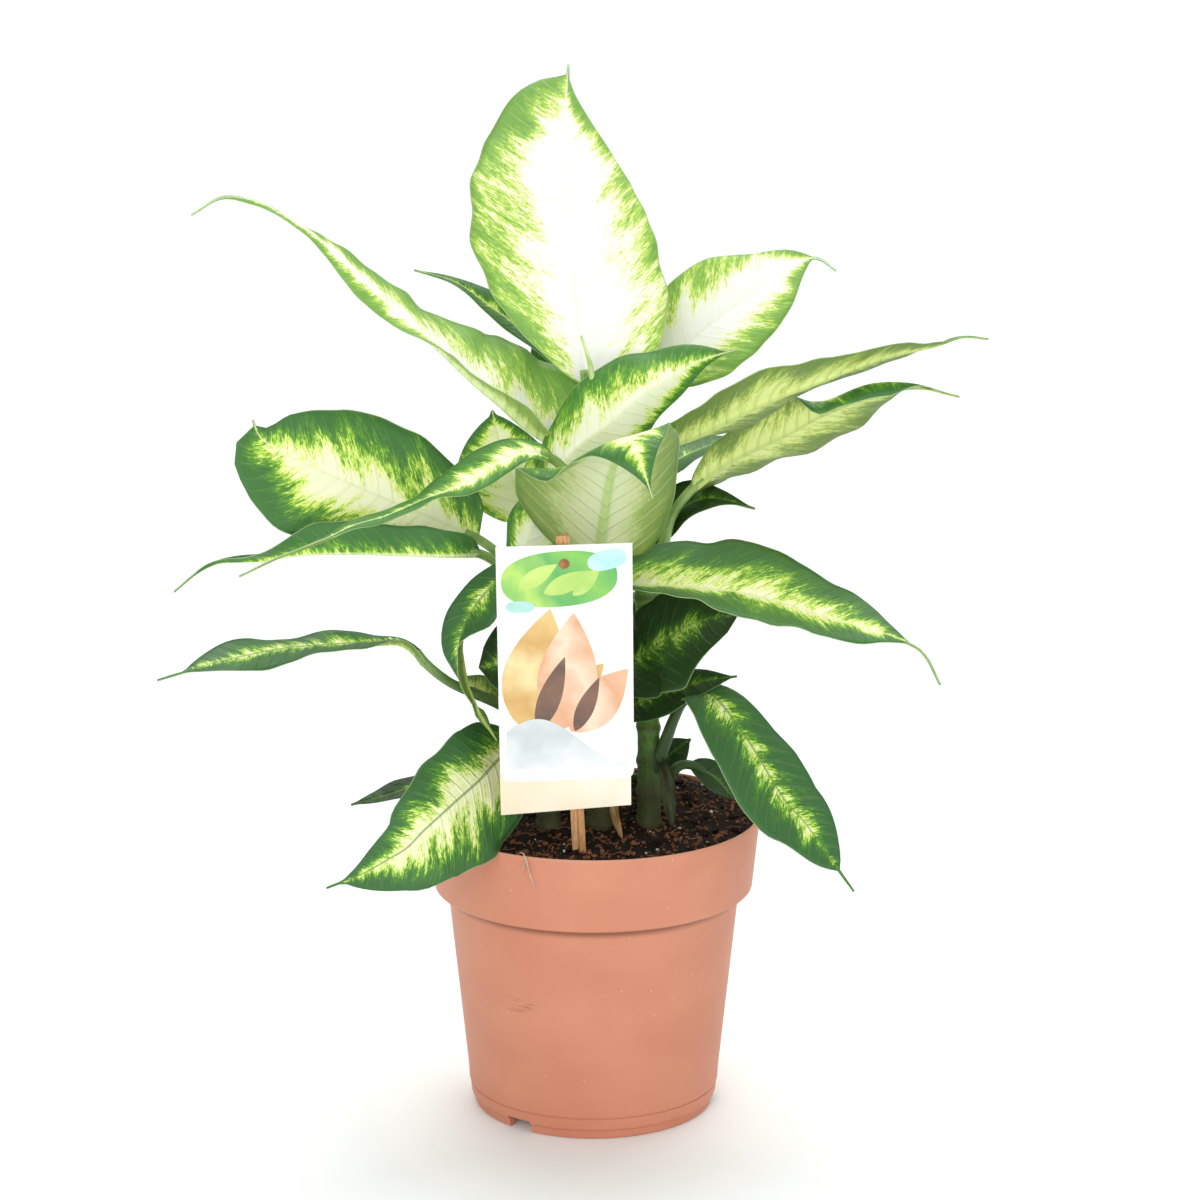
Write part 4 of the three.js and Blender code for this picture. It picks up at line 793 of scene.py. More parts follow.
# The looks of a blade's faces. field: colours along FIELD_PLACES, from the pale centre to the
# dark margin; then the colours of the rib, the side veins and the thin edge. rough: the mean
# roughness. veins: how strongly they tint the face and stand out. broken: how far the field
# breaks up. rib_reach: the rib's width.
LEAF_FACES = {
    "upper_young": dict(
        field=[
            (255, 255, 250), (251, 253, 206), (226, 243, 130),
            (190, 225, 96), (150, 196, 86), (126, 174, 80),
        ],
        rib=(250, 251, 236), vein=(250, 252, 225), edge=(176, 200, 140), rough=0.42, veins=(0.06, 0.35),
    ),
    "upper_bright": dict(
        field=[
            (253, 254, 230), (248, 253, 178), (216, 240, 108),
            (162, 208, 70), (104, 164, 56), (70, 130, 52),
        ],
        rib=(240, 248, 196), vein=(210, 230, 140), edge=(160, 190, 120), rough=0.4, veins=(0.06, 0.5),
    ),
    "upper_grown": dict(
        field=[
            (252, 254, 214), (240, 250, 146), (202, 233, 88),
            (144, 198, 62), (94, 150, 52), (66, 118, 56),
        ],
        rib=(234, 242, 186), vein=(180, 210, 110), edge=(160, 185, 130), rough=0.38, veins=(0.06, 0.6),
    ),
    "upper_old": dict(
        field=[
            (251, 253, 206), (232, 246, 138), (180, 218, 84),
            (116, 174, 56), (78, 134, 50), (62, 108, 58),
        ],
        rib=(92, 138, 60), vein=(126, 170, 80), edge=(150, 178, 122), rough=0.36, veins=(0.1, 0.7),
        broken=1.1,
    ),
    # upper_shade: darker greens as painted shade, for leaves deep inside the plant.
    "upper_shade": dict(
        field=[
            (206, 226, 120), (160, 196, 78), (104, 152, 48),
            (72, 116, 36), (50, 88, 30), (36, 66, 26),
        ],
        rib=(100, 134, 64), vein=(84, 120, 54), edge=(112, 140, 86), rough=0.36, veins=(0.08, 0.7),
    ),
    "under_young": dict(
        field=[
            (236, 244, 190), (222, 236, 160), (200, 220, 130),
            (180, 206, 112), (160, 190, 98), (146, 174, 90),
        ],
        rib=(196, 218, 130), vein=(170, 196, 110), edge=(180, 204, 130), rough=0.5, veins=(0.12, 0.9),
        broken=0.7,
    ),
    "under_grown": dict(
        field=[
            (218, 228, 142), (202, 216, 116), (178, 196, 94),
            (154, 174, 80), (128, 152, 68), (104, 130, 58),
        ],
        rib=(184, 204, 118), vein=(132, 156, 78), edge=(160, 184, 116), rough=0.5, veins=(0.16, 1.0),
        rib_reach=1.7,
    ),
    "under_soft": dict(
        field=[
            (216, 223, 180), (206, 215, 160), (192, 205, 138),
            (172, 190, 114), (146, 168, 90), (118, 146, 70),
        ],
        rib=(172, 202, 112), vein=(214, 220, 176), edge=(170, 196, 124), rough=0.5, veins=(0.3, 0.8),
        broken=0.4, rib_reach=2.6,
    ),
}
FIELD_PLACES = (0.22, 0.38, 0.49, 0.57, 0.68, 0.95)
VEIN_SPACING = 7.5


def leaf_look(name, face):
    """A blade's face: a pale field that breaks up into flecks along the side veins."""
    look = Look("leaf_" + name)
    place = look.stored("surface_place")
    share, pale, rib = look.parts(look.stored("surface_tone"))
    blotch = look.noise(place, (0.07, 0.03, 1.0), 2.0, 0.6)
    streak = look.noise(place, (0.3, 0.08, 1.0), 3.0, 0.65)
    fleck = look.noise(place, (0.95, 0.3, 1.0), 4.0, 0.8)
    drift = look.add(look.swing(blotch, 1.2), look.swing(streak, 0.9))
    drift = look.times(look.add(drift, look.swing(fleck, 1.5)), face.get("broken", 1.0))
    field = look.add(look.add(look.math("SUBTRACT", share, pale), drift), 0.5)
    colour = look.stops(field, dict(zip(FIELD_PLACES, face["field"])))
    wave = look.math("SINE", look.times(look.parts(place)[0], 2 * math.pi / VEIN_SPACING))
    ridge = look.times(look.ease(wave, 0.6, 1.0), look.ease(share, 1.0, 0.7))
    vein_tint, vein_height = face["veins"]
    colour = look.coat(colour, ridge, vein_tint, face["vein"])
    rib_reach = face.get("rib_reach", 0.9)
    on_rib = look.math("SUBTRACT", 1.0, look.ease(rib, 0.4 * rib_reach, rib_reach))
    colour = look.coat(colour, on_rib, 0.7, face["rib"])
    colour = look.blend(look.ease(share, 0.98, 0.998), colour, face["edge"])
    grain = look.noise(place, (2.2, 2.2, 1.0), 3.0)
    height = look.add(look.times(ridge, vein_height), look.times(grain, 0.3))
    rough = look.add(look.times(streak, 0.16), face["rough"] - 0.08)
    return look.finish(colour, rough, 0.32, (height, 0.4))


def stalk_look(name, light, dark, rough, shaded_light=None, shaded_dark=None):
    """Smooth stalks with fine lengthwise streaks. The last two colours are darker ones low in the plant,
    painted shade under the leaves.
    """
    look = Look(name)
    place = look.stored("surface_place")
    lines = look.noise(place, (0.03, 1.1, 1.0), 3.0, 0.6)
    patches = look.noise(place, (0.09, 0.12, 1.0), 2.0)
    share = look.ease(look.add(lines, look.add(patches, -0.5)), 0.3, 0.75)
    colour = look.blend(share, dark, light)
    if shaded_light:
        # Low in the plant the stalks take darker colours, as painted shade under the leaves.
        low = look.ease(look.parts(look.where())[2], 290.0, 190.0)
        colour = look.blend(low, colour, look.blend(lines, shaded_dark, shaded_light))
    rough = look.add(look.times(patches, 0.2), rough - 0.1)
    return look.finish(colour, rough, 0.45, (lines, 0.25))


def cane_look():
    """Canes: brown and corky at the foot, green above, darker at each leaf scar."""
    look = Look("cane_bark")
    place = look.stored("surface_place")
    mottle = look.noise(place, (0.22, 0.45, 1.0), 4.0, 0.6)
    level = look.add(look.parts(look.where())[2], look.swing(mottle, 60.0))
    greens = {0.0: (74, 76, 42), 0.5: (76, 108, 46), 1.0: (106, 146, 66)}
    colour = look.stops(look.ease(level, 150.0, 215.0), greens)
    ring = look.ease(look.parts(look.stored("surface_tone"))[0], 0.2, 0.9)
    colour = look.coat(colour, ring, 0.55, (84, 72, 46))
    lines = look.noise(place, (0.9, 0.12, 1.0), 3.0)
    rough = look.add(look.times(mottle, 0.3), 0.4)
    return look.finish(colour, rough, 0.4, (look.add(lines, mottle), 0.5))


# A smudge on the wall: its middle and its reach each way.
POT_SCUFF_PLACE = (-38.0, -60.0, 70.5)
POT_SCUFF_REACH = (13.0, 22.0, 5.5)


def pot_look():
    """Moulded terracotta-coloured plastic: fine grain, faint clouds, one scuff, a few specks, painted
    shade under the collar and a painted highlight on the rim.
    """
    look = Look("pot_terracotta_plastic")
    place = look.where()
    grain = look.noise(place, (1.6, 1.6, 1.6), 4.0, 0.7)
    cloud = look.noise(place, (0.02, 0.02, 0.03), 3.0)
    colour = look.blend(look.ease(cloud, 0.3, 0.7), (207, 134, 106), (214, 142, 113))
    from_scuff = look.vector("SUBTRACT", place, POT_SCUFF_PLACE)[0]
    from_scuff = look.vector("DIVIDE", from_scuff, POT_SCUFF_REACH)[0]
    near_scuff = look.ease(look.vector("LENGTH", from_scuff)["Value"], 1.0, 0.4)
    scratches = look.ease(look.noise(place, (0.08, 0.08, 1.1), 3.0, 0.7), 0.5, 0.66)
    scuff = look.times(scratches, near_scuff)
    colour = look.coat(colour, scuff, 0.9, (144, 84, 62))
    specks = look.math("SUBTRACT", 1.0, look.ease(look.cells(place, 0.1), 0.03, 0.06))
    colour = look.coat(colour, specks, 0.45, (240, 205, 186))
    height = look.parts(place)[2]
    # Painted shade: the wall is darkened in a band just under the collar's overhang.
    below = look.ease(height, POT_COLLAR_FOOT_Z - 6, POT_COLLAR_FOOT_Z - 1.5)
    collar_shade = look.times(below, look.ease(height, POT_COLLAR_FOOT_Z + 0.7, POT_COLLAR_FOOT_Z))
    colour = look.coat(colour, collar_shade, 0.75, (112, 62, 44))
    # Painted highlight: a lighter band along the top of the rim.
    rim_highlight = look.ease(height, POT_HEIGHT - 1.6, POT_HEIGHT - 0.5)
    colour = look.coat(colour, rim_highlight, 0.5, (226, 168, 140))
    rough = look.add(look.times(grain, 0.16), look.add(look.times(scuff, 0.15), 0.42))
    relief = look.add(grain, look.times(scuff, -0.6))
    return look.finish(colour, rough, 0.35, (relief, 0.1))


def peat_look(name, dark, light, scale):
    """Peat, bark and other crumbs of the potting mix."""
    look = Look(name)
    place = look.where()
    crumbs = look.noise(place, (scale, scale, scale), 5.0, 0.7)
    damp = look.noise(place, (0.06, 0.06, 0.06), 2.0)
    share = look.ease(look.add(crumbs, look.times(damp, 0.4)), 0.45, 0.95)
    rough = look.add(look.times(crumbs, 0.25), 0.7)
    return look.finish(look.blend(share, dark, light), rough, 0.25, (crumbs, 0.9))


def card_look(name, light, dark, rough, fibre):
    """Printed card: an even coat over faint paper fibre."""
    look = Look(name)
    place = look.where()
    threads = look.noise(place, (0.5, 0.5, 2.6), 4.0, 0.65)
    tint = look.noise(place, (0.035, 0.035, 0.02), 1.0)
    colour = look.blend(look.ease(tint, 0.3, 0.7), light, dark)
    colour = look.coat(colour, look.ease(threads, 0.5, 0.8), fibre, dark)
    rough = look.add(look.times(threads, 0.12), rough)
    return look.finish(colour, rough, 0.4, (threads, 0.05))


def wood_look(name, light, dark, scale):
    """Split wood with its grain along Z."""
    look = Look(name)
    place = look.where()
    fibres = look.noise(place, (2.4 * scale, 2.4 * scale, 0.06 * scale), 4.0, 0.65)
    rings = look.noise(place, (0.5 * scale, 0.5 * scale, 0.015 * scale), 2.0)
    share = look.ease(look.add(fibres, look.times(rings, 0.6)), 0.55, 1.05)
    rough = look.add(look.times(fibres, 0.2), 0.5)
    return look.finish(look.blend(share, dark, light), rough, 0.35, (fibres, 0.2))


LEAF_LOOKS = {name: leaf_look(name, face) for name, face in LEAF_FACES.items()}
PETIOLE = stalk_look("petiole_green", (158, 188, 112), (120, 156, 80), 0.42, (66, 98, 44), (38, 64, 26))
ROLLED = stalk_look("rolled_leaf_green", (226, 238, 178), (168, 202, 112), 0.42)
SHEATH = stalk_look("dried_sheath", (196, 164, 112), (142, 104, 62), 0.7)
DARK_SHEATH = stalk_look("dark_sheath", (74, 84, 44), (42, 46, 24), 0.55)
STRAW = stalk_look("soil_straw", (168, 124, 84), (108, 70, 44), 0.7)
ROOT_FIBRE = stalk_look("root_fibre", (214, 204, 190), (176, 150, 128), 0.6)
BARK = cane_look()
POT = pot_look()
PEAT = peat_look("peat_dark", (12, 7, 5), (46, 27, 18), 0.55)
CRUMB = peat_look("peat_crumbs", (30, 17, 11), (176, 116, 80), 1.1)
PERLITE = peat_look("perlite_white", (206, 202, 192), (246, 245, 240), 1.2)
CARD = card_look("card_white", (250, 250, 248), (240, 241, 240), 0.32, 0.1)
TAG = card_look("tag_tan", (255, 246, 228), (253, 234, 206), 0.55, 0.3)
STAKE = wood_look("stake_bamboo", (226, 180, 128), (176, 118, 74), 1.0)
PEG = wood_look("peg_wood", (196, 138, 92), (142, 88, 54), 1.6)

# ---------------------------------------------------------------- leaves


CANE_PATHS = {name: Path(cane["points"]) for name, cane in CANES.items()}
LEAF_SLOTS = {"young": "young_leaf", "grown": "leaf", "old": "old_leaf"}


def half_width(t, half, widest, fineness, roundness, drip):
    """The blade's half-width at t, narrowing to a drip tip at its end."""
    least = mix(BLADE_BASE_HALF, BLADE_TIP_HALF, t)
    share = min(1, t / (1 - drip))
    if share < widest:
        outline = math.sin(math.pi / 2 * share / widest) ** roundness
    else:
        outline = max(0, math.sin(math.pi / 2 * (1 - share) / (1 - widest))) ** fineness
    return least + (half - least) * outline


def crimp(length, side, seed, spacing):
    """A soft random ripple of about -1 to 1 along a margin."""
    return CRIMP_SWING * noise.noise(Vector((length / spacing, 3.0 * side, seed)))


def blade_row(leaf, path, t, signed, seed):
    """The blade's middle surface across one row. signed: shares from -1, left, to 1, right."""
    along = path.along(t)
    facing = keyed(leaf["face"], t)
    up = unit(facing - along * (facing @ along))
    across = np.cross(along, up)
    bend = np.radians(keyed(leaf["bend"], t))
    height, waves, phase = leaf["wave"]
    points, offsets = [], []
    for value in signed:
        side, q = (-1 if value < 0 else 1), abs(value)
        row = leaf["left"] if side < 0 else leaf.get("right", leaf["left"])
        half, widest, fineness, roundness = (row + [USUAL_ROUNDNESS])[:4]
        width = half_width(t, half, widest, fineness, roundness, leaf.get("drip", DRIP_TIP))
        length = t * path.length
        width *= 1 + CRIMP_WIDTH * crimp(length, side, seed, CRIMP_LENGTH)
        fold = bend[0 if side < 0 else 1]
        curl = bend[2 if side < 0 else 3] or 1e-6
        out = width * (math.sin(fold + curl * q) - math.sin(fold)) / curl
        lift = width * (math.cos(fold) - math.cos(fold + curl * q)) / curl
        turns = waves * t + phase + WAVE_OFFSET * side
        ripple = math.sin(2 * math.pi * turns) * math.sin(math.pi * t)
        ruffle = CRIMP_HEIGHT * q**3 * crimp(length, side, seed + 5, RUFFLE_LENGTH)
        ruffle *= min(1, half / RUFFLE_FULL_HALF) * math.sin(math.pi * t) ** 0.5
        points.append(path.at(t) + across * side * out + up * (lift + height * q * q * ripple + ruffle))
        offsets.append(width * q)
    return np.array(points), np.array(offsets)


def blade(leaf, path, rows, half_columns, seed):
    """A closed blade: upper face in slot 0, lower face with its rib in slot 1."""
    steps = np.arange(-half_columns, half_columns + 1) / half_columns
    signed = np.sign(steps) * np.abs(steps) ** COLUMN_SPREAD
    middle, offsets = [], []
    for i in range(rows + 1):
        points, reach = blade_row(leaf, path, i / rows, signed, seed)
        middle.append(points)
        offsets.append(reach)
    middle, offsets = np.array(middle), np.array(offsets)
    grown = np.concatenate([middle[:1], middle, middle[-1:]])
    lengthwise = grown[2:] - grown[:-2]
    grown = np.concatenate([middle[:, :1], middle, middle[:, -1:]], axis=1)
    normal = np.cross(lengthwise, grown[:, 2:] - grown[:, :-2])
    normal /= np.linalg.norm(normal, axis=2, keepdims=True)
    t = np.linspace(0, 1, rows + 1)[:, None]
    share = np.abs(signed)[None, :]
    on_rib = np.clip(offsets / mix(RIB_HALF[0], RIB_HALF[1], t), 0, 1)
    ridge = mix(RIB_DEPTH[0], RIB_DEPTH[1], t) * (1 - on_rib**2) ** 2
    half = BLADE_HALF * (1 - MARGIN_THINNING * share**4) + 0 * t
    upper = middle - normal * (half - RIB_GROOVE * (1 - on_rib**2) ** 6)[..., None]
    lower = middle + normal * (half + ridge)[..., None]
    vein = t * path.length - VEIN_SLANT * offsets - VEIN_SWEEP * offsets * share
    pale = leaf.get("pale", USUAL_PALE)
    closes = pale[2] if len(pale) > 2 else PALE_FIELD_CLOSES
    closed = smoothstep(t, closes, closes + PALE_FIELD_CLOSES_OVER)
    reach = mix(np.where(signed < 0, pale[0], pale[1])[None, :], PALE_FIELD_TIP, closed)
    place = np.stack([vein, offsets * np.sign(signed)[None, :], np.full_like(vein, seed)], axis=2)
    rib_tint = offsets / mix(RIB_TINT_HALF[0], RIB_TINT_HALF[1], t)
    tone = np.stack([share + 0 * t, reach, rib_tint], axis=2)
    front, back, rim = sheet_faces(rows + 1, len(signed))
    points = np.concatenate([upper.reshape(-1, 3), lower.reshape(-1, 3)])
    places = np.concatenate([place.reshape(-1, 3)] * 2)
    tones = np.concatenate([tone.reshape(-1, 3)] * 2)
    slots = [0] * len(front) + [1] * len(back) + [0] * len(rim)
    return points, front + back + rim, slots, places, tones


def petiole(leaf, path, seed):
    """The stalk leaves the cane upwards, grooved on top, and meets the blade along its rib."""
    cane_name, height = leaf["root"]
    cane = CANE_PATHS[cane_name]
    foot = cane.share_at_height(height)
    root, joint = cane.at(foot), path.at(0)
    reach = np.linalg.norm(joint - root)
    outward = unit((joint - root) * [1, 1, 0]) * PETIOLE_SPREAD
    rise = root + (cane.along(foot) + outward) * reach * PETIOLE_RISE
    approach = joint - path.along(0) * reach * PETIOLE_APPROACH
    points = bezier_points(root, rise, approach, joint, PETIOLE_SHARES)
    points.append(path.at(PETIOLE_REACH / path.length))

    def radius_at(t, from_top):
        radius = mix(PETIOLE_RADIUS[0], PETIOLE_RADIUS[1], min(1, 1.4 * t))
        sheathed = 1 - smoothstep(t, *PETIOLE_SHEATHED)
        groove = PETIOLE_GROOVE * (1 + sheathed) * math.exp(-((from_top / 0.5) ** 2))
        wings = PETIOLE_GROOVE * sheathed * math.exp(-(((abs(from_top) - 0.95) / 0.3) ** 2))
        return radius * (1 - groove + wings)

    return tube(Path(points), radius_at, PETIOLE_SIDES, PETIOLE_STEPS, seed)


def leaf_piece(name, leaf, seed):
    """A leaf's blade and petiole, as one piece in place of its node."""
    path = Path(leaf["rib"])
    rows = max(BLADE_LEAST_ROWS, round(path.length / BLADE_STATION))
    broad = leaf["left"][0] + leaf.get("right", leaf["left"])[0] > BROAD_LEAF
    half_columns = BROAD_BLADE_COLUMNS if broad else BLADE_COLUMNS
    shape = Shape()
    points, faces, slots, place, tone = blade(leaf, path, rows, half_columns, seed)
    shape.add(points, faces, slots, place, tone)
    points, faces, place = petiole(leaf, path, seed)
    shape.add(points, faces, 2, place)
    age = leaf.get("age", "grown")
    upper = LEAF_LOOKS[leaf.get("upper", "upper_" + age)]
    under = LEAF_LOOKS[leaf.get("under", "under_young" if age == "young" else "under_grown")]
    return dress(shape.build(name + "_fine", [upper, under, PETIOLE]), LEAF_SLOTS[age], name)


for number, (leaf_name, leaf_row) in enumerate(LEAVES.items()):
    leaf_piece(leaf_name, leaf_row, 17.0 * (number + 1))

# ---------------------------------------------------------------- canes and the rolled leaf


def cane_piece(name, cane, seed):
    """A cane that swells at each leaf scar."""
    path = CANE_PATHS[name]
    scars = round(path.length / NODE_SPACING)
    steps = scars * CANE_STEPS

    def scar_at(t):
        from_scar = abs(t * scars - round(t * scars))
        return math.exp(-((from_scar / NODE_WIDTH) ** 2))

    def radius_at(t, from_top):
        slant = NODE_SLANT * math.cos(from_top + 2.1 * round(t * scars))
        ripple = CANE_RIPPLE * noise.noise(Vector((t * path.length * 0.3, from_top * 1.3, seed)))
        swell = NODE_SWELL * scar_at(t + slant / scars)
        waist = CANE_WAIST * (1 - scar_at(t)) ** 4
        return mix(cane["radius"][0], cane["radius"][1], t) + swell + ripple - waist

    shape = Shape()
    points, faces, place = tube(path, radius_at, CANE_SIDES, steps, seed)
    tone = [(scar_at(min(1, (i // CANE_SIDES) / steps)), 0, 0) for i in range(len(points))]
    shape.add(points, faces, 0, place, tone)
    return dress(shape.build(f"cane_{name}_fine", [BARK], sharp=60), "cane", f"cane_{name}")


for number, (cane_name, cane_row) in enumerate(CANES.items()):
    cane_piece(cane_name, cane_row, 3.7 * (number + 1))


def rolled_leaf():
    """The newest leaf, still rolled: a tapered scroll with one overlapping edge."""
    def radius_at(t, from_top):
        place = t * (len(SPIKE_RADIUS) - 1)
        low = min(int(place), len(SPIKE_RADIUS) - 2)
        radius = mix(SPIKE_RADIUS[low], SPIKE_RADIUS[low + 1], place - low)
        turn = (from_top + math.pi + SPIKE_TWIST * t) % (2 * math.pi) / (2 * math.pi)
        return radius * (SPIKE_INNER + SPIKE_OVERLAP * turn)

    shape = Shape()
    points, faces, place = tube(Path(SPIKE_POINTS), radius_at, SPIKE_SIDES, SPIKE_STEPS, 5.0)
    shape.add(points, faces, 0, place)
    return dress(shape.build("leaf_new_rolled_fine", [ROLLED], sharp=50), "young_leaf", "leaf_new_rolled")


rolled_leaf()

# ---------------------------------------------------------------- pot


def cut_from(piece, cutter_mesh):
    """Takes the cutter's room out of the piece's mesh."""
    cutter = in_scene("cutter", cutter_mesh)
    modifier = piece.modifiers.new("cut", "BOOLEAN")
    modifier.operation = "DIFFERENCE"
    modifier.solver = "EXACT"
    modifier.object = cutter
    bpy.context.view_layer.update()
    held = piece.evaluated_get(bpy.context.evaluated_depsgraph_get())
    mesh = bpy.data.meshes.new_from_object(held)
    piece.modifiers.clear()
    piece.data = mesh
    bpy.data.objects.remove(cutter)


# Corners of the pot's section, from the middle of its underside up the outside and down the
# inside: (radius, height, how far the corner is rounded).
POT_SECTION = [
    (0, POT_FLOOR_Z - POT_FLOOR_THICKNESS, 0),
    (POT_FOOT_RADIUS - POT_FOOT_WIDTH - 0.5, POT_FLOOR_Z - POT_FLOOR_THICKNESS, 0),
    (POT_FOOT_RADIUS - POT_FOOT_WIDTH, 0, 0.6),
    (POT_FOOT_RADIUS - 0.3, 0, 0.8),
    (POT_FOOT_RADIUS - 0.2, 4.2, 0.4),
    (POT_FOOT_RADIUS + 1.6, 5.4, 0.8),
    (POT_BODY_LOW_RADIUS - 0.9, 10.8, 0.2),
    (POT_BODY_LOW_RADIUS - 1.5, 11.3, 0.15),
    (POT_BODY_LOW_RADIUS - 0.4, 12.0, 0.3),
    (POT_BODY_LOW_RADIUS, POT_BODY_LOW_Z, 3),
    (POT_BODY_TOP_RADIUS, POT_SHOULDER_Z, 1.6),
    (POT_BODY_TOP_RADIUS + 1.6, POT_SHOULDER_Z + 3.2, 0.8),
    (POT_COLLAR_FOOT_RADIUS - 1.4, POT_COLLAR_FOOT_Z, 0.6),
    (POT_COLLAR_FOOT_RADIUS, POT_COLLAR_FOOT_Z + 1.4, 0.5),
    (POT_RIM_RADIUS - 0.3, POT_HEIGHT - 1.2, 0.5),
    (POT_RIM_RADIUS - 0.9, POT_HEIGHT, 0.3),
    (POT_RIM_RADIUS - POT_COLLAR_WALL + 0.2, POT_HEIGHT, 0.4),
    (POT_COLLAR_FOOT_RADIUS - POT_COLLAR_WALL, POT_COLLAR_FOOT_Z + 3, 2),
    (POT_BODY_TOP_RADIUS + 0.4, POT_SHOULDER_Z + 5.6, 1.5),
    (POT_BODY_TOP_RADIUS - POT_WALL, POT_SHOULDER_Z, 2),
    (POT_BODY_LOW_RADIUS - POT_WALL, POT_BODY_LOW_Z, 0),
    (POT_FOOT_RADIUS - 1, POT_FLOOR_Z, 2),
    (0, POT_FLOOR_Z, 0),
]


def foot_notch(work, azimuth):
    """Adds the room of one notch in the foot to the cutter."""
    place = Matrix.Rotation(math.radians(azimuth), 4, "Z")
    place @= Matrix.Translation((0, (-POT_FOOT_RADIUS - 1.2) * MM, 0))
    size = (NOTCH_WIDTH * MM, 3 * POT_FOOT_WIDTH * MM, 2 * NOTCH_HEIGHT * MM, 1)
    bmesh.ops.create_cube(work, size=1, matrix=place @ Matrix.Diagonal(size))


def drain_hole(work, azimuth):
    """Adds the room of one hole in the floor to the cutter."""
    place = Matrix.Rotation(azimuth, 4, "Z") @ Matrix.Translation((0, -DRAIN_CIRCLE * MM, 0))
    bmesh.ops.create_cone(
        work, cap_ends=True, segments=DRAIN_SEGMENTS, radius1=DRAIN_RADIUS * MM,
        radius2=DRAIN_RADIUS * MM, depth=DRAIN_CUT_DEPTH * MM, matrix=place,
    )


def pot_piece():
    """The turned pot, with its foot notches and drain holes cut out."""
    shape = Shape()
    shape.add(*lathe_points(rounded(POT_SECTION), POT_SEGMENTS))
    pot = shape.build("pot_fine", [POT])
    work = bmesh.new()
    for azimuth in NOTCH_AZIMUTHS:
        foot_notch(work, azimuth)
    for i in range(DRAIN_COUNT):
        drain_hole(work, 2 * math.pi * i / DRAIN_COUNT)
    cutters = bpy.data.meshes.new("cutters")
    work.to_mesh(cutters)
    work.free()
    cut_from(pot, cutters)
    crease(pot.data, 38)
    return dress(pot, "pot", "pot")


pot_piece()

# ---------------------------------------------------------------- potting mix


def soil_height(x, y):
    """The soil's surface: low at the front rim, heaped behind, with shallow lumps."""
    across = math.hypot(x, y) / POT_RIM_RADIUS
    back = smoothstep(y, -POT_RIM_RADIUS * 0.6, POT_RIM_RADIUS * 0.6)
    fine = math.sin(x * 0.21 + 1.3) * math.cos(y * 0.17 - 0.4)
    broad = 0.6 * math.sin(x * 0.09 - y * 0.13)
    heap = SOIL_HEAP * back * (1 - 0.6 * across**2)
    return SOIL_FRONT_Z + heap + (fine + broad) * (1 - across**4)


def crumbly_height(x, y):
    """The same surface, broken up by coarse lumps and fine crumbs."""
    coarse = noise.fractal(Vector((x * 0.11, y * 0.11, 2.0)), 1.0, 2.0, 3)
    crumbs = noise.fractal(Vector((x * 0.42, y * 0.42, 7.0)), 0.8, 2.2, 4)
    return soil_height(x, y) + 0.9 * coarse + 1.3 * crumbs - 0.4


def soil_piece():
    """The potting mix: it fills the pot up to its crumbly top."""
    wall = POT_WALL + SOIL_CLEARANCE
    profile = [
        (0, POT_FLOOR_Z + SOIL_CLEARANCE),
        (POT_FOOT_RADIUS - 1.5, POT_FLOOR_Z + SOIL_CLEARANCE),
        (POT_BODY_LOW_RADIUS - wall - 0.3, POT_BODY_LOW_Z),
        (POT_BODY_TOP_RADIUS - wall - 0.3, POT_SHOULDER_Z),
        (POT_BODY_TOP_RADIUS - 0.2, POT_SHOULDER_Z + 6),
        (POT_COLLAR_FOOT_RADIUS - wall - 1, POT_COLLAR_FOOT_Z + 3.4),
    ]
    top = [(SOIL_RADIUS * ring / SOIL_RINGS, SOIL_FRONT_Z) for ring in range(SOIL_RINGS, -1, -1)]

    def lift(x, y, z):
        return crumbly_height(x, y) if z > SOIL_FRONT_Z - 0.01 else z

    shape = Shape()
    shape.add(*lathe_points(profile + top, SOIL_SEGMENTS, lift))
    return dress(shape.build("soil_fine", [PEAT]), "peat", "soil")


soil_piece()


def crumb(size, flat):
    """A small irregular lump as points and faces round its own middle."""
    work = bmesh.new()
    bmesh.ops.create_icosphere(work, subdivisions=1, radius=1)
    stretch = [size * draw.uniform(0.6, 1.3) for _ in range(2)] + [size * flat * draw.uniform(0.6, 1.2)]
    turn = Matrix.Rotation(draw.uniform(0, 6.3), 3, "Z")
    turn @= Matrix.Rotation(draw.uniform(-0.7, 0.7), 3, "X")
    points = []
    for vertex in work.verts:
        knock = draw.uniform(0.72, 1.18)
        points.append(turn @ Vector([vertex.co[i] * stretch[i] * knock for i in range(3)]))
    faces = [tuple(v.index for v in face.verts) for face in work.faces]
    work.free()
    return points, faces


def scatter_place(reach):
    """A random place on the mix, within this radius."""
    radius = reach * math.sqrt(draw.random())
    angle = draw.uniform(0, 2 * math.pi)
    return radius * math.cos(angle), radius * math.sin(angle)


def crumbs_piece(name, count, sizes, flat, material):
    """Loose crumbs of these sizes, strewn over the mix and sunk a little into it."""
    shape = Shape()
    for _ in range(count):
        size = draw.uniform(sizes[0], sizes[1]) * draw.uniform(0.6, 1)
        x, y = scatter_place(SOIL_RADIUS - 1.5 - size)
        points, faces = crumb(size, flat)
        middle = Vector((x, y, crumbly_height(x, y) + size * flat * 0.35))
        shape.add([middle + p for p in points], faces)
    return dress(shape.build(name, [material], sharp=30), "peat")


# Name, count, sizes, how flat and look.
CRUMBS = [
    ["soil_crumbs", 1500, (0.5, 2.0), 0.7, CRUMB],
    ["soil_lumps", 240, (1.6, 3.4), 0.6, PEAT],
    ["soil_perlite", 90, (0.4, 1.3), 0.85, PERLITE],
]
for crumbs_row in CRUMBS:
    crumbs_piece(*crumbs_row)


def strand(points, radius, sides, steps, seed):
    """A thin tube through these points that tapers to its end."""
    def radius_at(t, from_top):
        return radius * (1 - STRAND_TAPER * t**3)

    return tube(Path(points), radius_at, sides, steps, seed)


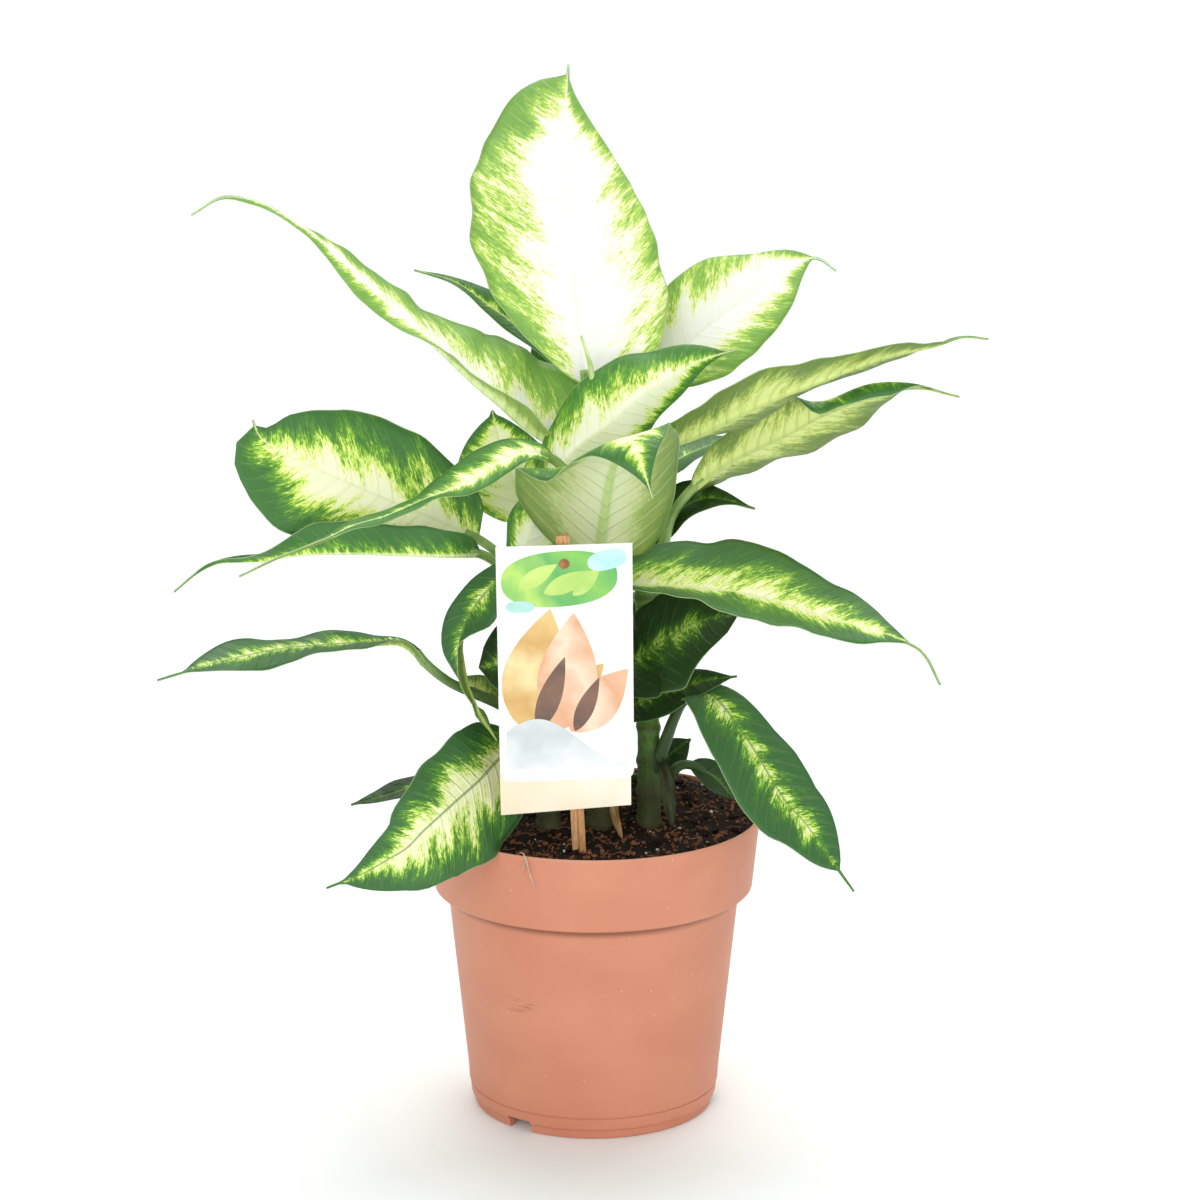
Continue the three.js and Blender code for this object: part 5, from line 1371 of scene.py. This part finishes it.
def fibres_piece():
    """Fine rootlets and straw that lie on the mix."""
    shape = Shape()
    for number in range(FIBRE_COUNT):
        x, y = scatter_place(SOIL_RADIUS - 8)
        heading, reach = draw.uniform(0, 2 * math.pi), draw.uniform(*FIBRE_LENGTH)
        points = []
        for k in range(FIBRE_POINTS):
            heading += draw.uniform(-0.5, 0.5)
            far = reach * k / (FIBRE_POINTS - 1)
            px, py = x + math.cos(heading) * far, y + math.sin(heading) * far
            if math.hypot(px, py) > SOIL_RADIUS - 1:
                break
            points.append((px, py, crumbly_height(px, py) + draw.uniform(0.2, 1.2)))
        if len(points) == FIBRE_POINTS:
            shape.add(*strand(points, draw.uniform(*FIBRE_RADIUS), 5, 8, number)[:2])
    return dress(shape.build("soil_fibres", [STRAW]), "peat")


fibres_piece()


# A root's middle line over the rim and down the collar, and its side root's.
ROOT_LINE = [
    (-37.5, -68, 150.6), (-35.2, -74, 153.8), (-33.6, -78.3, 154.1), (-32.2, -79.3, 150.5),
    (-30.3, -79.3, 143), (-28.2, -79.4, 137),
]
SIDE_ROOT_LINE = [(-32.4, -79.0, 151.5), (-34.2, -78.4, 147), (-33.6, -78.2, 142)]


def root_fibre():
    """A pale root that has grown over the rim and hangs down the collar."""
    shape = Shape()
    for line, radius, sides, steps, seed in (
        (ROOT_LINE, 0.42, 8, 30, 3.0), (SIDE_ROOT_LINE, 0.3, 6, 14, 4.0),
    ):
        points, faces, place = strand(line, radius, sides, steps, seed)
        shape.add(points, faces, 0, place)
    return dress(shape.build("root_fibre", [ROOT_FIBRE]), "peat")


root_fibre()

# Withered leaf sheaths between the canes: side, half-width, look and middle line.
DRIED_SHEATHS = [
    ["front", 2.2, SHEATH, [(12, -26, 168), (10, -33, 166), (11, -39, 160), (14, -44, 152)]],
    ["right", 3.8, DARK_SHEATH, [(33, -18, 184), (36, -25, 180), (37, -31, 170), (39, -37, 156)]],
    ["left", 2.2, DARK_SHEATH, [(-30, -18, 168), (-34, -25, 169), (-38, -32, 162), (-40, -38, 153)]],
]
SHEATH_HALF_THICKNESS = 0.22
SHEATH_STEPS = 22
SHEATH_COLUMNS = 9
SHEATH_ROLL = 0.54


def dried_sheath(side_name, half, material, line, seed):
    """A shrivelled strap with rolled edges."""
    path = Path(line)
    upper, lower = [], []
    for i in range(SHEATH_STEPS + 1):
        t = i / SHEATH_STEPS
        along = path.along(t)
        across = unit(np.cross(along, [0.2, -0.9, 0.5]))
        out = np.cross(across, along)
        width = half * math.sin(math.pi * min(1, 0.12 + 0.86 * t)) ** 0.6
        for j in range(SHEATH_COLUMNS):
            side = 2 * j / (SHEATH_COLUMNS - 1) - 1
            crumple = 0.5 * noise.noise(Vector((t * 6, side * 1.5, seed)))
            rolled = SHEATH_ROLL * half * side * side
            middle = path.at(t) + across * side * width + out * (rolled + crumple)
            upper.append(middle + out * SHEATH_HALF_THICKNESS)
            lower.append(middle - out * SHEATH_HALF_THICKNESS)
    front, back, rim = sheet_faces(SHEATH_STEPS + 1, SHEATH_COLUMNS)
    faces = front + back + [face[::-1] for face in rim]
    stations = np.linspace(0, path.length, SHEATH_STEPS + 1)
    place = [(length, 3 * column, seed) for length in stations for column in range(SHEATH_COLUMNS)]
    shape = Shape()
    shape.add(upper + lower, faces, 0, place * 2)
    return dress(shape.build("dried_sheath_" + side_name, [material]), "cane")


for number, sheath in enumerate(DRIED_SHEATHS):
    dried_sheath(*sheath, 2.0 * number + 1)

# ---------------------------------------------------------------- label, tag, stake and peg

# The print is a set of thin inlays on the card's face, in the label's own plane: x to the
# right and z up from the card's top middle. Nothing is lettered.
INLAY_THICKNESS = 0.05
INLAY_STEP = 0.01
INK_RUN = 60
LABEL_PLACE = (
    Matrix.Translation(LABEL_TOP)
    @ Matrix.Rotation(math.radians(LABEL_YAW), 4, "Z")
    @ Matrix.Rotation(math.radians(LABEL_LEAN), 4, "X")
    @ Matrix.Rotation(math.radians(-LABEL_ROLL), 4, "Y")
)


def print_look(name, first, second, third, angle):
    """Printing ink: three tones that run into each other, with a fine dot screen."""
    look = Look(name)
    place = look.where()
    x, _, z = look.parts(place)
    turn = math.radians(angle)
    run = look.add(look.times(x, math.cos(turn)), look.times(z, math.sin(turn)))
    sway = look.noise(place, (0.07, 0.07, 0.07), 2.0)
    share = look.math("FRACT", look.add(look.times(run, 1 / INK_RUN), look.times(sway, 0.5)))
    colour = look.stops(look.math("PINGPONG", share, 0.5), {0.0: first, 0.25: second, 0.5: third})
    dots = look.ease(look.cells(place, 2.6), 0.25, 0.5)
    colour = look.coat(colour, dots, 0.07, (250, 250, 248))
    rough = look.add(look.times(dots, 0.05), 0.3)
    return look.finish(colour, rough, 0.4, (dots, 0.02))


OVAL_STEPS = 48
MOTIF_STEPS = 22
HILL_STEPS = 40
INK_GREEN = print_look("ink_green", (132, 200, 74), (86, 176, 84), (182, 224, 96), 35)
INK_AQUA = print_look("ink_aqua", (176, 226, 226), (214, 240, 236), (140, 206, 190), 70)
INK_LIME = print_look("ink_lime", (206, 230, 120), (172, 212, 92), (226, 240, 164), 110)
INK_OCHRE = print_look("ink_ochre", (232, 196, 122), (214, 164, 84), (246, 220, 160), 60)
INK_PEACH = print_look("ink_peach", (244, 200, 164), (228, 166, 124), (250, 220, 192), 20)
INK_BROWN = print_look("ink_brown", (126, 84, 58), (92, 58, 44), (168, 116, 74), 80)
INK_MIST = print_look("ink_mist", (226, 230, 232), (206, 212, 216), (240, 242, 243), 90)


def leaned(outline, x, z, lean):
    """An outline turned by lean and moved to x, z."""
    c, s = math.cos(math.radians(lean)), math.sin(math.radians(lean))
    return [(x + u * c - v * s, z + u * s + v * c) for u, v in outline]


def pebble(x, z, wide, high, lean):
    """An oval outline, a little squared."""
    def squared(value):
        return math.copysign(abs(value) ** 0.85, value)

    angles = [2 * math.pi * k / OVAL_STEPS for k in range(OVAL_STEPS)]
    outline = [(wide * squared(math.cos(a)), high * squared(math.sin(a))) for a in angles]
    return leaned(outline, x, z, lean)


def leaf_motif(x, z, length, half, lean):
    """A plain pointed leaf whose stalk end is at x, z."""
    shares = [k / MOTIF_STEPS for k in range(MOTIF_STEPS + 1)]
    side = [(t * length, half * math.sin(math.pi * t**0.8) ** 0.9) for t in shares]
    outline = [(u, -v) for u, v in side] + side[-2:0:-1]
    return leaned(outline, x, z, lean)


def hill(low, left, right, crest):
    """Ground across the card's foot, with one soft wave on top."""
    top = []
    for k in range(HILL_STEPS, -1, -1):
        t = k / HILL_STEPS
        wave = 0.55 + 0.45 * math.sin(math.pi * (1.4 * t + 0.15))
        top.append((mix(left, right, t), low + crest * wave))
    return [(left, low), (right, low)] + top


def inlay(name, outlines, layer, material):
    """Thin closed plates on the card's face. layer 1 lies on the card, 2 on layer 1."""
    shape = Shape()
    back = -INLAY_THICKNESS * (layer - 1) + INLAY_STEP
    for number, outline in enumerate(outlines):
        front = -INLAY_THICKNESS * layer - INLAY_STEP * number
        count = len(outline)
        points = [LABEL_PLACE @ Vector((x, y, z)) for y in (front, back) for x, z in outline]
        faces = [tuple(range(count)), tuple(reversed(range(count, 2 * count)))]
        faces += [(k, k + count, (k + 1) % count + count, (k + 1) % count) for k in range(count)]
        shape.add(points, faces)
    return dress(shape.build(name, [material], sharp=30), "card")


PRINT = [
    ["patch_green", 1, INK_GREEN, [pebble(-2.5, -17, 28, 14, 3)]],
    ["leaves_lime", 2, INK_LIME, [
        leaf_motif(-22, -21, 22, 4.2, 32), leaf_motif(-10, -24, 26, 4.6, 24),
        leaf_motif(4, -25.5, 19, 3.8, 46),
    ]],
    ["patch_aqua", 3, INK_AQUA, [pebble(20.5, -8, 9.5, 5, 12), pebble(-21.5, -30.5, 7, 3, 0)]],
    ["leaf_ochre", 1, INK_OCHRE, [
        leaf_motif(-22, -92, 62, 15, 76), leaf_motif(-16, -94, 48, 11, 44),
    ]],
    ["leaf_peach", 2, INK_PEACH, [
        leaf_motif(-2, -94, 60, 14.5, 84), leaf_motif(2, -95, 42, 11, 48),
    ]],
    ["leaf_brown", 3, INK_BROWN, [
        leaf_motif(-14, -94, 40, 5.5, 70), leaf_motif(4, -95, 30, 4.2, 66),
    ]],
    ["hill_mist", 4, INK_MIST, [hill(-114, -29, 29, 26)]],
]
for print_name, layer, ink, outlines in PRINT:
    inlay("print_" + print_name, outlines, layer, ink)

for node_name, material in (
    ("label_card", CARD), ("label_tag", TAG), ("stake", STAKE), ("label_peg", PEG),
):
    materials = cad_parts[node_name].data.materials
    materials.clear()
    materials.append(material)

# ---------------------------------------------------------------- floor, light and camera

# The floor's and the lamps' lengths are in metres.
FLOOR_HALF = 30.0
FLOOR_GAP = 0.0002
# name, place, aim, size, power in watts
LIGHTS = [
    ["key", (-0.7, -2.3, 1.2), (0, 0, 0.22), 1.3, 20.0],
    ["fill", (1.5, -1.9, 0.5), (0, 0, 0.2), 1.2, 9.0],
]
OVERHEAD_FROM = (0.1, 0.45, 1.0)
OVERHEAD_STRENGTH = 1.9
OVERHEAD_SPREAD = 50
SKY_LOW = 0.35
SKY_HIGH = 0.6
FLOOR_GLOW = 0.05


def floor_look():
    """A white floor that glows a little, with the faintest clouds."""
    look = Look("floor_white")
    cloud = look.noise(look.where(), (0.004, 0.004, 0.004), 2.0)
    colour = look.blend(cloud, (246, 253, 251), (249, 255, 253))
    white = (1.0, 1.0, 1.0, 1.0)
    return look.finish(colour, 0.9, 0.1, Emission_Color=white, Emission_Strength=FLOOR_GLOW)


def floor_piece():
    """The studio's floor, just under the pot."""
    work = bmesh.new()
    bmesh.ops.create_grid(work, x_segments=2, y_segments=2, size=FLOOR_HALF)
    mesh = bpy.data.meshes.new("floor")
    work.to_mesh(mesh)
    work.free()
    mesh.materials.append(floor_look())
    piece = in_scene("floor", mesh)
    piece.location = (0, 0, -FLOOR_GAP)


def softbox(name, place, aim, size, power):
    """A square lamp at place that faces aim."""
    light = bpy.data.lights.new(name, "AREA")
    light.energy = power
    light.size = size
    lamp = in_scene(name, light)
    lamp.location = place
    lamp.rotation_euler = (Vector(aim) - Vector(place)).to_track_quat("-Z", "Y").to_euler()


def overhead_light():
    """A wide soft ceiling that lights the whole floor alike, from a little behind the plant."""
    light = bpy.data.lights.new("overhead", "SUN")
    light.energy = OVERHEAD_STRENGTH
    light.angle = math.radians(OVERHEAD_SPREAD)
    lamp = in_scene("overhead", light)
    lamp.rotation_euler = Vector(OVERHEAD_FROM).to_track_quat("Z", "Y").to_euler()


def studio_world():
    """An even white studio, brighter overhead than at the walls."""
    world = bpy.data.worlds.new("studio")
    world.use_nodes = True
    nodes, links = world.node_tree.nodes, world.node_tree.links
    around = nodes.new("ShaderNodeTexCoord")
    parts = nodes.new("ShaderNodeSeparateXYZ")
    rise = nodes.new("ShaderNodeMapRange")
    rise.inputs["From Min"].default_value = 0.0
    rise.inputs["From Max"].default_value = 0.9
    rise.inputs["To Min"].default_value = SKY_LOW
    rise.inputs["To Max"].default_value = SKY_HIGH
    sky = nodes["Background"]
    sky.inputs["Color"].default_value = (1.0, 1.0, 1.0, 1.0)
    links.new(around.outputs["Generated"], parts.inputs[0])
    links.new(parts.outputs[2], rise.inputs["Value"])
    links.new(rise.outputs[0], sky.inputs["Strength"])
    bpy.context.scene.world = world


def photo_camera():
    """The camera at the photo's angle."""
    camera = bpy.data.cameras.new("photo_camera")
    camera.lens = CAMERA_LENS
    camera.sensor_width = CAMERA_SENSOR
    viewer = in_scene("photo_camera", camera)
    viewer.location = [c * MM for c in CAMERA_PLACE]
    viewer.rotation_euler = (math.radians(90 - CAMERA_DOWN), 0, 0)
    bpy.context.scene.camera = viewer


floor_piece()
for light_row in LIGHTS:
    softbox(*light_row)
overhead_light()
studio_world()
photo_camera()
bpy.context.scene.view_settings.view_transform = "Standard"
